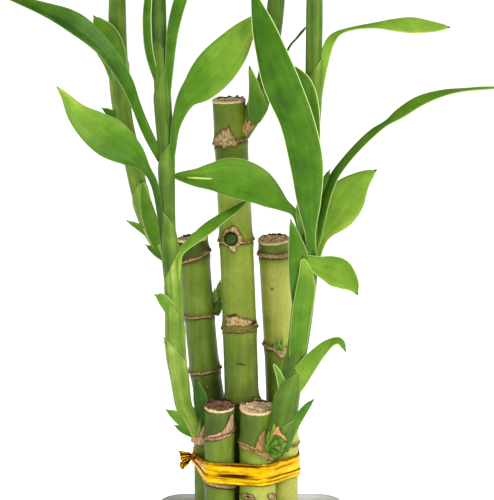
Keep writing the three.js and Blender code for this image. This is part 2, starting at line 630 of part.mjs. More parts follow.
// The room inside the bowl, from one height to another, with the walls that far from the outside.
function bowlInside(from, to, wall) {
  const levels = [0.25, 0.6, 1].map((share) => THREE.MathUtils.lerp(from, to, share));
  const corner = BOWL.corner - wall / 2;
  const edge = BOWL.footEdge;
  return [
    roundedSquare(bowlSide(from) - 2 * wall - edge, corner - edge / 2, from),
    ...levels.map((z) => roundedSquare(bowlSide(z) - 2 * wall, corner, z)),
  ];
}

// Evenly spread numbers from 0 to 1, the same on every run.
function seeded(seed) {
  const modulus = 2147483647;
  let state = seed;
  return () => {
    state = (state * 16807) % modulus;
    return state / modulus;
  };
}

// One flat round stone with its own size, turn and height.
function pebble(x, y, random) {
  const { level, radius, flatness } = PEBBLES;
  const stone = new THREE.SphereGeometry(radius * (0.86 + 0.24 * random()), 7, 4);
  stone.rotateX(Math.PI / 2);
  stone.scale(1, 0.9, flatness);
  stone.rotateZ(random() * Math.PI);
  stone.translate(x, y, level - 0.6 + 1.4 * random());
  return solid(stone);
}

// A bed of stones with a layer of separate ones at its top and a hole for each cane.
function pebblesSolid() {
  const { level, pitch, rows, radius, jitter, seed } = PEBBLES;
  const random = seeded(seed);
  const wall = BOWL.wall + GAP;
  const bed = solid(skin(bowlInside(BOWL.floor + GAP, level, wall)));
  const reach = bowlSide(level) / 2 - wall - radius * 0.9;
  const stones = [];
  for (let row = -rows; row <= rows; row++) {
    for (let column = -rows; column <= rows; column++) {
      const shift = row % 2 === 0 ? 0 : pitch / 2;
      const x = column * pitch + shift + jitter * (2 * random() - 1);
      const y = row * pitch * 0.9 + jitter * (2 * random() - 1);
      if (Math.max(Math.abs(x), Math.abs(y)) < reach) {
        stones.push(pebble(x, y, random));
      }
    }
  }
  const holes = Object.values(CANES).map(caneHole);
  const room = solid(skin(bowlInside(BOWL.floor + GAP, BOWL.height, wall)));
  return mainBody(fuse([bed, ...stones]).intersect(room).subtract(fuse(holes)));
}

// The whole object

function addPiece(group, name, piece, [color, roughness, metalness = 0]) {
  const material = new THREE.MeshStandardMaterial({ color, roughness, metalness });
  const mesh = new THREE.Mesh(geometryOf(piece), material);
  mesh.name = name;
  group.add(mesh);
}

function luckyBamboo() {
  const plant = new THREE.Group();
  addPiece(plant, "bowl", bowlSolid(), COLOURS.bowl);
  addPiece(plant, "pebbles", pebblesSolid(), COLOURS.pebbles);
  for (const name of Object.keys(CANES)) {
    addPiece(plant, name, caneWithBuds(name), COLOURS[name]);
  }
  addPiece(plant, "tie", tieSolid(), COLOURS.tie);
  for (const [name, shoot] of Object.entries(SHOOTS)) {
    addPiece(plant, name, shootSolid(shoot), COLOURS.shoot);
  }
  return plant;
}

export default luckyBamboo();
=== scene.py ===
# %% [markdown]
# # A lucky bamboo, leaf by leaf
#
# This lesson dresses a plain solid model of a lucky bamboo: seven cut canes in a square bowl of
# pebbles, a gold foil tie, and the leafy shoots that grew from the canes after they were cut. The
# plain solids come from a CAD file and stay the measure of every size here. Each of them is
# replaced by a finer piece of the same form, with a material of its own.

import math
from functools import partial

import bmesh
import bpy
import numpy as np
from mathutils import Matrix, Vector, noise
from mathutils.geometry import convex_hull_2d


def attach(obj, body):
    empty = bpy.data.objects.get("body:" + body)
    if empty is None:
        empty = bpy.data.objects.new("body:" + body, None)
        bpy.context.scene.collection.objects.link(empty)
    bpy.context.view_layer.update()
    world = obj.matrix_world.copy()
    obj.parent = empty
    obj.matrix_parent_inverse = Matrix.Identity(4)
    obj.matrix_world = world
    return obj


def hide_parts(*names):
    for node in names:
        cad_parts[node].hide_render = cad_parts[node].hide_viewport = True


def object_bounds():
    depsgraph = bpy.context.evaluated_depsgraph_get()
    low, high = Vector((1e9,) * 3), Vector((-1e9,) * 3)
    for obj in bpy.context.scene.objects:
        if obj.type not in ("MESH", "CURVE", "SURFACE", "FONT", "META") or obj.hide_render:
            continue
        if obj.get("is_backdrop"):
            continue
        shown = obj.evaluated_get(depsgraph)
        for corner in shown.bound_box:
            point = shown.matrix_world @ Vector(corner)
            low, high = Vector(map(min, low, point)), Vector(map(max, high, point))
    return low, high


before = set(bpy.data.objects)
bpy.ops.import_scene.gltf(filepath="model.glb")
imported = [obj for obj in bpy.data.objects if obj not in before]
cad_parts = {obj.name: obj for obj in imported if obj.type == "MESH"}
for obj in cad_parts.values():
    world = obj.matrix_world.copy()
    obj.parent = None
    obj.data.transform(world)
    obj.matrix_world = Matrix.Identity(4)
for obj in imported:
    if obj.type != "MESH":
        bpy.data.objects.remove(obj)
cad_box = [list(corner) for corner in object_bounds()]
print("CAD nodes:", ", ".join(sorted(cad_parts)))

# %% [markdown]
# ## Units and colours
#
# The plant is measured in millimetres, because a leaf is easier to think of as 13 mm wide than as
# 0.013 m, and it turns to metres where its meshes are made. Colours are written as the sRGB hex
# values that a paint chart or a picture shows, and one function turns them to the linear values
# that light is reckoned in.

# %% Units and colours
MM = 0.001


def colour(code):
    """The linear red, green, blue and alpha of an sRGB hex colour."""
    channels = [int(code[i:i + 2], 16) / 255 for i in (1, 3, 5)]
    linear = [c / 12.92 if c <= 0.04045 else ((c + 0.055) / 1.055) ** 2.4 for c in channels]
    return (*linear, 1.0)


print("leaf green in linear light:", [round(c, 3) for c in colour("#5f9430")])

# %% [markdown]
# ## Nodes for materials
#
# Every material here is a small network of nodes around one Principled shader. One helper adds a
# node of any kind, fills its sockets with values, colours or the outputs of other nodes, and hands
# back its own output. A material is then a recipe: a function that adds its patterns and tells
# which of them goes into which socket of the shader.

# %% Adding nodes and making materials
PER_MM = (1 / MM,) * 3  # the Mapping scale at which a pattern of scale 1 repeats about every mm


def add_node(tree, kind, sockets=(), stops=(), out=None, **settings):
    """Add a node and return its output, the first in use or the one named. Stops are a ramp's."""
    node = tree.nodes.new("ShaderNode" + kind)
    for name, value in settings.items():
        setattr(node, name, value)
    sockets = sockets if isinstance(sockets, dict) else dict(enumerate(sockets))
    for socket, value in sockets.items():
        if isinstance(value, bpy.types.NodeSocket):
            tree.links.new(value, node.inputs[socket])
        else:
            node.inputs[socket].default_value = colour(value) if isinstance(value, str) else value
    for number, (place, shade) in enumerate(stops):
        elements = node.color_ramp.elements
        stop = elements[number] if number < 2 else elements.new(place)
        stop.position = place
        stop.color = colour(shade)
    return node.outputs[out] if out else next((o for o in node.outputs if o.enabled), None)


def make_material(name, recipe, *choices):
    """A material of one Principled shader, whose sockets a recipe fills."""
    material = bpy.data.materials.new(name)
    material.use_nodes = True
    material.node_tree.nodes.clear()
    add = partial(add_node, material.node_tree)
    add("OutputMaterial", (add("BsdfPrincipled", recipe(add, *choices)),))
    print("material:", name, "with", len(material.node_tree.nodes), "nodes")
    return material


# %% [markdown]
# ## Camera and light
#
# A plant on a white sweep is lit from all around, so that its greens stay clear and its shadows
# stay soft. The surroundings and the white floor give most of the light here. The surroundings
# are brightest in front and above, and dim to the sides and behind, so that every round cane
# grows darker towards its edges. One large lamp from the front right adds a soft highlight, and
# a second one from the left keeps the far side open. The camera stands 0.8 m away and looks down
# by about ten degrees.

# %% Camera
AIM = Vector((-1.4, 0, 157))  # the point in the middle of the picture, in mm
CAMERA_DISTANCE = 800
CAMERA_PITCH = math.radians(10.5)


def new_object(name, data):
    """An object in the scene that shows a camera, a lamp or a mesh."""
    thing = bpy.data.objects.new(name, data)
    bpy.context.scene.collection.objects.link(thing)
    return thing


camera = new_object("camera", bpy.data.cameras.new("camera"))
camera.data.lens = 160
camera.data.sensor_width = 36
away = Vector((0, -math.cos(CAMERA_PITCH), math.sin(CAMERA_PITCH)))
camera.location = (AIM + CAMERA_DISTANCE * away) * MM
camera.rotation_euler = (math.pi / 2 - CAMERA_PITCH, 0, 0)
bpy.context.scene.camera = camera
print("camera at", [round(v, 3) for v in camera.location])

# %% Light
bpy.context.scene.view_settings.view_transform = "Standard"
world = bpy.data.worlds.new("white surroundings")
bpy.context.scene.world = world
world.use_nodes = True
world.node_tree.nodes.clear()
add = partial(add_node, world.node_tree)
way = add("TexCoord", out="Generated")
open_side = add("VectorMath", (way, (-0.1, -0.75, 0.65)), out="Value", operation="DOT_PRODUCT")
glow = add("MapRange", (open_side, -0.5, 0.8, 0.08, 0.57))
add("OutputWorld", (add("Background", {"Color": "#ffffff", "Strength": glow}),))


def soft_lamp(name, place, size, power):
    """A square lamp in metres and watts that faces the middle of the plant."""
    lamp = new_object(name, bpy.data.lights.new(name, "AREA"))
    lamp.data.size = size
    lamp.data.energy = power
    lamp.location = place
    lamp.rotation_euler = (AIM * MM - lamp.location).to_track_quat("-Z", "Y").to_euler()


soft_lamp("key_lamp", (0.75, -0.8, 0.9), 0.5, 10)
soft_lamp("fill_lamp", (-0.9, -0.5, 0.5), 0.7, 2)

# %% [markdown]
# ## Meshes from grids of points
#
# Leaves, sheaths and foil are thin sheets, and canes and stems are tubes. Both are grids of points,
# row by row. A sheet gets a second grid just behind the first and a rim between the two, so that
# it is a closed solid and not a paper-thin surface. A tube joins its last column to its first and
# has a fan over each end. Each point also carries marks, such as how far it is from a leaf's edge,
# which the materials read as attributes. A part is its points, its faces and its marks.

# %% Sheets and tubes
def unit(vectors):
    """Vectors scaled to a length of one."""
    return vectors / np.linalg.norm(vectors, axis=-1, keepdims=True)


def grid_faces(rows, columns, closed=False):
    """Four-sided faces over a grid of points that is numbered row by row."""
    across = np.arange(columns if closed else columns - 1)
    i, j = np.meshgrid(np.arange(rows - 1) * columns, across, indexing="ij")
    k = (j + 1) % columns
    return np.stack([i + j, i + k, i + columns + k, i + columns + j], -1).reshape(-1, 4).tolist()


def thin_sheet(grid, out, thickness, **marks):
    """A closed thin solid around a grid of points, thickened along the out directions."""
    shape = grid.shape[:2]
    count = shape[0] * shape[1]
    half = out * np.broadcast_to(thickness, shape)[..., None] / 2
    points = np.concatenate([grid + half, grid - half]).reshape(-1, 3)
    faces = grid_faces(*shape)
    back = [[a + count, d + count, c + count, b + count] for a, b, c, d in faces]
    index = np.arange(count).reshape(shape)
    rim = np.concatenate([index[0], index[1:, -1], index[-1, -2::-1], index[-2:0:-1, 0]]).tolist()
    edge = [[a, b, b + count, a + count] for a, b in zip(rim, rim[1:] + rim[:1])]
    marks = {name: np.tile(np.broadcast_to(value, shape).ravel(), 2) for name, value in marks.items()}
    return points, faces + back + edge, {**marks, "under": np.repeat([0.0, 1.0], count)}


def tube(grid, **marks):
    """A closed solid around rings of points, with a fan of faces over each end."""
    rows, columns = grid.shape[:2]
    count = rows * columns
    last = count - columns
    faces = grid_faces(rows, columns, closed=True)
    for j in range(columns):
        k = (j + 1) % columns
        faces += [[k, j, count], [last + j, last + k, count + 1]]
    for name, value in marks.items():
        value = np.broadcast_to(value, (rows, columns))
        marks[name] = np.concatenate([value.ravel(), [value[0].mean(), value[-1].mean()]])
    return np.concatenate([grid.reshape(-1, 3), grid[:1].mean(1), grid[-1:].mean(1)]), faces, marks


def gather(parts):
    """Several parts as one, with the marks that all of them carry."""
    points, faces, marks = zip(*parts)
    start = np.cumsum([0] + [len(some) for some in points])
    moved = [[corner + first for corner in face] for some, first in zip(faces, start) for face in some]
    shared = [name for name in marks[0] if all(name in some for some in marks)]
    marks = {name: np.concatenate([some[name] for some in marks]) for name in shared}
    return np.concatenate(points), moved, marks


# %% From a part to a piece of the scene
def make_piece(name, part, material, node):
    """A mesh object in metres that rides on the body and stands for a CAD node."""
    points, faces, marks = part
    mesh = bpy.data.meshes.new(name)
    mesh.from_pydata((points * MM).tolist(), [], faces)
    for mark, values in marks.items():
        attribute = mesh.attributes.new(mark, "FLOAT", "POINT")
        attribute.data.foreach_set("value", np.asarray(values, np.float32))
    shell = bmesh.new()
    shell.from_mesh(mesh)
    bmesh.ops.recalc_face_normals(shell, faces=shell.faces)
    shell.to_mesh(mesh)
    shell.free()
    mesh.shade_smooth()
    mesh.materials.append(material)
    piece = new_object(name, mesh)
    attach(piece, "root")
    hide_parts(node)
    print(f"{name}: {len(mesh.polygons)} faces, {len(marks)} marks")


# %% [markdown]
# ## Curves
#
# A stem or a leaf is described by a few stations along its middle, each with a place and a width.
# The curve below passes through every station and bends smoothly between them. Widths and turns
# are simply further columns of the same table, so they change as smoothly as the places do.

# %% A smooth curve through stations
def smooth_curve(stations, count):
    """Evenly numbered rows on a smooth curve through the stations, column by column."""
    stations = np.asarray(stations, float)
    ends = 2 * stations[[0, -1]] - stations[[1, -2]]
    padded = np.vstack([ends[:1], stations, ends[1:]])
    place = np.linspace(0, len(stations) - 1, count)
    first = np.minimum(place.astype(int), len(stations) - 2)
    t = (place - first)[:, None]
    a, b, c, d = (padded[first + k] for k in range(4))
    leave, arrive = (c - a) / 2, (d - b) / 2
    cubic = (2 * b - 2 * c + leave + arrive) * t ** 3
    return b + leave * t + (-3 * b + 3 * c - 2 * leave - arrive) * t ** 2 + cubic


def course_length(points):
    """The length of a line through points, up to each of them."""
    return np.concatenate([[0], np.cumsum(np.linalg.norm(np.diff(points, axis=0), axis=1))])


def side_frames(middle, face=(0.0, -1.0, 0.0)):
    """Directions across and behind a curve that is seen from its face side, and along it."""
    along = unit(np.gradient(middle, axis=0))
    across = unit(np.cross(along, face))
    return across, np.cross(across, along), along


def rings_around(across, back, angle):
    """Directions all around each row of a curve."""
    return across[..., None, :] * np.cos(angle)[:, None] + back[..., None, :] * np.sin(angle)[:, None]


def at_height(course, z):
    """The middle and the radius of a cane or a stem at heights, from rows of x, y, z and radius."""
    x, y, radius = (np.interp(z, course[:, 2], course[:, k]) for k in (0, 1, 3))
    return np.stack([x, y, z + 0 * x], -1), radius


def bell(distance, reach):
    """A smooth bump: 1 at no distance and near 0 at twice its reach."""
    return np.exp(-(distance / reach) ** 2)


def roughness_at(points, size, seed=0.0):
    """Smooth random heights from about -1 to 1 at points in mm, with bumps of one size."""
    flat = np.asarray(points, float).reshape(-1, 3) / size + seed
    return np.array([noise.noise(Vector(p)) for p in flat]).reshape(np.shape(points)[:-1])


sample = smooth_curve([[0, 0, 0], [0, 0, 50], [10, 0, 100]], 50)
print("a bent line 100 mm high is", round(course_length(sample)[-1], 1), "mm long")

# %% [markdown]
# ## The skin of a cane
#
# The canes are not bamboo but cut stems of a dracaena. Their skin is smooth and waxy, with a low
# sheen. It is grown, not made, so nothing on it is quite even: fine streaks run up the cane, broad
# patches are yellower or darker, and the rings where leaves once sat are dry, tan and fibrous
# between two dark creases. One noise is stretched along Z for the streaks and one is left round
# for the patches. How yellow the skin is, how dry, and how deeply creased come as marks on the
# mesh, and a fine noise eats into the edges of the dry places so that they look torn. The mark for
# how yellow the skin is also holds painted shade: each cane is a little lighter on its right side
# and darker on its left.

# %% Waxy cane skin
CANE_GREENS = [(0.0, "#2a4012"), (0.25, "#4a6318"), (0.5, "#6d8424"), (0.75, "#90a138"), (1.0, "#bcbf58")]


def waxy_cane_skin(add):
    """Waxy skin whose green follows the mark called tone, with dry tissue and dark creases."""
    tone, dry, crease = (add("Attribute", out="Fac", attribute_name=mark)
                         for mark in ("tone", "dry", "crease"))
    place = add("Mapping", {"Vector": add("TexCoord", out="Object"), "Scale": PER_MM})
    upright = add("Mapping", {"Vector": place, "Scale": (1, 1, 1 / 22)})
    short = add("Mapping", {"Vector": place, "Scale": (1, 1, 1 / 2.5)})
    streak, patch, fibre, freckle = (
        add("TexNoise", {"Vector": way, "Scale": scale, "Detail": detail, "Roughness": rough})
        for way, scale, detail, rough in (
            (upright, 0.7, 3, 0.6), (place, 1 / 7, 4, 0.6), (short, 1.9, 4, 0.65),
            (place, 1 / 1.6, 5, 0.7)))
    for pattern, share in ((streak, 0.3), (patch, 0.5)):
        tone = add("Math", (pattern, share, tone), operation="MULTIPLY_ADD")
    centred = add("Math", (tone, 0.4), operation="SUBTRACT")
    # the fibres eat into dry tissue and creases, and dry tissue is darker towards its torn edge
    torn, depth, cracked = (add("Math", (fibre, share, mark), operation="MULTIPLY_ADD")
                            for share, mark in ((0.9, dry), (1.7, dry), (0.8, crease)))
    dryness = add("MapRange", (torn, 0.92, 1.0))
    straw = add("ValToRGB", (add("MapRange", (depth, 1.15, 2.3)),), [
        (0.1, "#3c2a16"), (0.38, "#74582f"), (0.56, "#ac9062"), (0.82, "#dfc997")])
    # over the green: brown freckles, stains beside a crease, dry tissue, and the creases
    skin = add("ValToRGB", (centred,), CANE_GREENS)
    for share, over in (
            (add("MapRange", (freckle, 0.55, 0.75, 0, 0.5)), "#665a24"),
            (add("MapRange", (crease, 0.05, 0.6, 0, 0.65)), "#55441a"),
            (dryness, straw), (add("MapRange", (cracked, 0.95, 1.2)), "#3a2812")):
        skin = add("Mix", {0: share, 6: skin, 7: over}, data_type="RGBA")
    height = add("Math", (dryness, 1.5, 0.2), operation="MULTIPLY_ADD")
    relief = add("Math", (fibre, height), operation="MULTIPLY")
    return {
        "Base Color": skin, "Roughness": add("MapRange", (dryness, 0, 1, 0.4, 0.85)), "IOR": 1.45,
        "Specular IOR Level": 0.24, "Subsurface Weight": 0.06, "Subsurface Scale": 1.5 * MM,
        "Subsurface Radius": (0.8, 1.0, 0.3),
        "Normal": add("Bump", {"Height": relief, "Strength": 0.4, "Distance": 0.4 * MM})}


cane_skin = make_material("waxy cane skin", waxy_cane_skin)

# %% [markdown]
# ## Cut ends and dry remnants
#
# Where a cane was sawn through, its pith has dried to a pale, corky face full of fine pores, with
# a dark rim where the skin ends. The rim is painted darker at the back of the cut, as shade, and a
# pale line along its front lip is a painted highlight. The pores are cells of a Voronoi pattern a
# little under a millimetre across, drawn coarser than real ones so that they show from this far.
# Straw colours, with fibres along one way, serve for the torn bits of old leaf base that still
# cling to the canes.

# %% Corky pith
def corky_pith(add, pale, dark, rim):
    """Dried pith with pores and rings. Marks: edge, dark at 1 and pale at -1, and out, 1 at the skin."""
    edge, out = (add("Attribute", out="Fac", attribute_name=mark) for mark in ("edge", "out"))
    place = add("Mapping", {"Vector": add("TexCoord", out="Object"), "Scale": PER_MM})
    pores = add("TexVoronoi", {"Vector": place, "Scale": 1.1})
    cloud = add("TexNoise", {"Vector": place, "Scale": 0.5, "Detail": 5, "Roughness": 0.7})
    wavy = add("Math", (cloud, 0.3, out), operation="MULTIPLY_ADD")
    round_way = add("Math", (wavy, 28), operation="MULTIPLY")
    ring = add("Math", (round_way,), operation="SINE")
    speck = add("Math", (pores, cloud), operation="ADD")
    ringed = add("Math", (ring, 0.13, speck), operation="MULTIPLY_ADD")
    worn = add("Math", (cloud, 0.9, edge), operation="MULTIPLY_ADD")
    face = add("ValToRGB", (ringed,), [(0.74, dark), (1.0, pale)])
    # over the face: the dark rim, painted darker at the back of a cut as shade, and a pale line that is a
    # painted highlight at its front
    for low, high, over in ((1.15, 1.3, rim), (0.1, -0.2, "#f4d6a2")):
        face = add("Mix", {0: add("MapRange", (worn, low, high)), 6: face, 7: over}, data_type="RGBA")
    return {"Base Color": face, "Roughness": 0.85, "IOR": 1.4,
            "Normal": add("Bump", {"Height": ringed, "Strength": 0.8, "Distance": 0.5 * MM})}


pale_pith = make_material("pale corky pith", corky_pith, "#efcfa0", "#86623c", "#5c4026")
dark_pith = make_material("browned corky pith", corky_pith, "#8c6448", "#20130a", "#1c100a")


# %% Dry leaf base
def dry_leaf_base(add, *shades):
    """Torn dry fibres, long up and down, in shades from their hollows to their tops."""
    upright = add("Mapping", {
        "Vector": add("TexCoord", out="Object"), "Scale": (1 / MM, 1 / MM, 1 / 3 / MM)})
    fibre = add("TexNoise", {"Vector": upright, "Scale": 1.6, "Detail": 4, "Roughness": 0.7})
    return {"Base Color": add("ValToRGB", (fibre,), zip((0.3, 0.45, 0.6, 0.75), shades)),
            "Roughness": 0.8, "IOR": 1.4,
            "Normal": add("Bump", {"Height": fibre, "Strength": 0.6, "Distance": 0.3 * MM})}


pink_base, straw_base, orange_base = (
    make_material(f"{name} dry leaf base", dry_leaf_base, *shades) for name, *shades in (
        ("pinkish", "#744a32", "#b48466", "#d4a888", "#e9ccae"),
        ("straw", "#6a4724", "#b0824c", "#d3aa72", "#ecd0a0"),
        ("orange", "#9a5c34", "#cf8a58", "#e2a878", "#f0c8a0")))

# %% [markdown]
# ## The canes
#
# A cane could be turned as a plain tube with the ring drawn on it, but a ring is a real step: the
# old leaf base clasped the cane there, and left a thin raised lip with a groove under it. So each
# cane is a tube of rings, less than half a millimetre apart above the pebbles, whose radius
# follows the solid's and adds the lip, the groove and a little unevenness. Its axis leans and
# bends as the solid's does, and the rings at a node slope to one side.
#
# Each node is a height, a slope, and how far the dry tissue reaches above its ring, and zeros at
# the end are left out. The tones say how yellow the skin is at some heights, from 0 to 1. The
# outlines of scars lie on the side that faces the front, in x and z. Some are filled with dry
# tissue and some are dark creases. A cut rises from front to back by its tilt.

# %% The canes' sizes
CANE_FOOT = 8.3
PEBBLE_LEVEL = 45
NODE_SWELL = 0.55
CANES = {
    "cane_tall": {
        "axis": [(0, 2.2, CANE_FOOT), (-2.5, 2.5, 78), (-4.9, 3.4, 150), (-7.9, 4.5, 211)],
        "radii": (6.5, 5.9), "tilt": 0.03,
        "nodes": [(38,), (66, 0.1), (101,), (127.8, 0.02), (159.9, 0, 0.1), (196.2, 0.14, 0.1)],
        "tones": [(60, 0.4), (100, 0.42), (124, 0.5), (131, 0.6), (150, 0.7), (158, 0.6), (164, 0.62),
            (170, 0.85), (178, 0.88), (186, 0.72), (191, 0.5), (195, 0.44), (200, 0.52), (209, 0.5)],
        "dry": [
            [(-13.6, 195.6), (-13.4, 197.5), (-11.7, 199.4), (-9.7, 201.4), (-8.9, 200.9), (-7.8, 203.1),
             (-7.3, 201), (-6.4, 199.3), (-5, 196.4), (-4.3, 195.3), (-5.7, 194.5), (-7.5, 195),
             (-8.9, 194.6), (-9.5, 193.5), (-10.5, 193.9), (-11, 195.2)],
            [(-0.8, 194), (0.8, 194.6), (1, 190), (-0.2, 189.2)],
            [(-6.4, 166.8), (-4.3, 164.8), (-3.2, 162.9), (-2.8, 161.1), (-3.6, 159.3), (-5, 158.2),
             (-5.7, 155.9), (-6.8, 156.3), (-8.2, 158.1), (-9.8, 159), (-10.5, 160.7), (-10.2, 163),
             (-9.3, 164.6), (-7.8, 165.7)],
            [(-9.4, 128.9), (-9.2, 133.2), (-7.5, 132.8), (-5.4, 133.8), (-3.2, 132.7), (-1, 132.3),
             (1.1, 131.1), (3.2, 130.1), (3.4, 128.6), (-1, 129.2), (-5, 129.5)],
            [(-0.3, 102.9), (1.5, 103.1), (3.3, 102.2), (4.1, 100.7), (-0.3, 101.4)]],
        "creased": [
            [(-4.5, 161.5), (-5, 163), (-6.2, 164), (-7.6, 164.1), (-9, 163.3), (-9.7, 162),
             (-9.5, 160.4), (-8.5, 159.2), (-7.1, 158.8), (-5.7, 159.1), (-4.8, 160.2)],
            [(-8.9, 132.9), (-5.4, 133.3), (-5.2, 134), (-7.4, 133.7)],
            [(-1.2, 129.8), (1.4, 129.6), (2.4, 131), (0.6, 130.6)],
            [(-5.4, 115.6), (-3.6, 115.9), (-1.9, 115.3), (-3.6, 115.3)]]},
    "cane_left_mid": {
        "axis": [(-13, 11.7, CANE_FOOT), (-13.3, 12, 78), (-17.6, 12, 116), (-21.2, 12, 159.5)],
        "radii": (5.7, 5.5),
        "nodes": [(32,), (60,), (87, 0.1), (109.8, 0, 0.3), (130.8, 0, 0.2), (152.3, 0.3, 0.3)],
        "tones": [(95, 0.25), (105, 0.2), (109, 0.35), (113, 0.42), (127, 0.45), (133, 0.5), (148, 0.5),
            (151, 0.35), (154, 0.14), (160, 0.1)],
        "dry": [
            [(-16.9, 105.6), (-16, 105.8), (-15.3, 105.2), (-15.2, 104.2), (-15.8, 104), (-16.5, 104.6)],
            [(-14.8, 105), (-14, 105.3), (-13.4, 104.9), (-13.7, 104.2), (-14.4, 104.2)],
            [(-17.9, 153.4), (-17, 155.2), (-16.2, 156.6), (-15.5, 155), (-14.9, 153.6)]]},
    "cane_right_mid": {
        "axis": [(11, 9.2, CANE_FOOT), (11.2, 9.5, 78), (11, 9.5, 108), (8.2, 9.5, 159.5)],
        "radii": (5.7, 5.6), "tilt": 0.12,
        "nodes": [(30,), (58,), (88,), (118.6, -0.28, 0.9), (153.7, -0.05, 1.1)],
        "tones": [(90, 0.4), (110, 0.5), (117, 0.55), (122, 0.92), (148, 1), (153, 0.6), (156, 0.5),
            (160, 0.5)],
        "dry": [
            [(7, 118.8), (7.6, 121.2), (9.2, 121.8), (11.4, 121.4), (13.4, 120), (13.4, 116.6),
             (11.4, 115.4), (9.8, 116.6), (8.6, 117.8)]],
        "creased": [
            [(7.3, 141.9), (7.7, 142.2), (8.1, 141.9), (7.7, 141.5)]]},
    "cane_front_left": {
        "axis": [(-11.3, -10, CANE_FOOT), (-11.3, -10, 60), (-11.3, -10, 102)],
        "radii": (5.7, 5.4), "tilt": 0.14,
        "nodes": [(25,), (48, 0.1), (73.2, -0.18, 1.1), (91.8, 0.3)],
        "tones": [(50, 0.5), (73, 0.5), (86, 0.52), (90, 0.48), (93, 0.28), (102, 0.32)],
        "dry": [
            [(-16.6, 89.8), (-14, 89.9), (-11, 90.6), (-7.6, 91.4), (-7.2, 92.4), (-12, 91.8),
             (-16.4, 91)]]},
    "cane_front_center": {
        "axis": [(2.4, -12, CANE_FOOT), (2.4, -12, 60), (2.4, -12, 102)],
        "radii": (7, 6.3), "tilt": 0.13,
        "nodes": [(30,), (57,), (87.2, -0.3)],
        "tones": [(50, 0.95), (74, 0.92), (84, 0.68), (89, 0.42), (102, 0.38)],
        "dry": [
            [(-3.9, 70.2), (-1.4, 71.6), (1.1, 70.7), (2, 69.4), (-0.3, 68.6), (-2.8, 68.6)],
            [(5.8, 71), (8, 71), (9, 69.5), (8.6, 68), (6.4, 68.6)],
            [(4.6, 86), (5.6, 88.4), (7, 87.2), (8.4, 84), (8.2, 82.6), (6, 83.4)]],
        "creased": [
            [(-2.2, 70), (-1, 70.6), (0.2, 69.9), (-1, 69.5)]]},
    "cane_left_back": {
        "axis": [(-15.7, 0.2, CANE_FOOT), (-15.7, 0.2, 60), (-15.7, 0.2, 98.5)],
        "radii": (5, 5),
        "nodes": [(33,), (60,), (88, 0.1, 0.2)],
        "tones": [(50, 0.45), (98, 0.4)]},
    "cane_right_back": {
        "axis": [(12.1, -3, CANE_FOOT), (12.1, -3, 50), (12.1, -3, 92.5)],
        "radii": (5.1, 5.1),
        "nodes": [(28,), (58, 0.1), (86.5,)],
        "tones": [(50, 0.7), (70, 0.95), (92, 1)]},
}
print("canes:", {name: cane["axis"][-1][2] - CANE_FOOT for name, cane in CANES.items()}, "mm long")


# %% One cane
CANE_COLUMNS = 76
CUT_LIP = 0.7  # mm of dried tissue down the side from the cut
ROW_STEP = 0.4  # mm between rings above the pebbles, close enough for a lip of half a millimetre


def cane_course(cane):
    """Rows of x, y, z and radius along a cane."""
    course = smooth_curve(cane["axis"], 400)
    return np.column_stack([course, np.interp(course[:, 2], course[[0, -1], 2], cane["radii"])])


def inside_depth(outline, x, z):
    """How many mm inside a closed outline points are; it is negative outside."""
    start = np.array(outline, float)
    point = np.stack([x, z], -1)[..., None, :]
    side = np.roll(start, -1, 0) - start
    share = np.clip(((point - start) * side).sum(-1) / (side ** 2).sum(-1), 0, 1)
    gap = np.linalg.norm(point - start - share[..., None] * side, axis=-1).min(-1)
    x, z = x[..., None], z[..., None]
    spans = (start[:, 1] > z) != (start[:, 1] + side[:, 1] > z)
    rise = np.where(side[:, 1] == 0, 1, side[:, 1])
    crossed = spans & (x < start[:, 0] + side[:, 0] * (z - start[:, 1]) / rise)
    return np.where(crossed.sum(-1) % 2 == 1, gap, -gap)


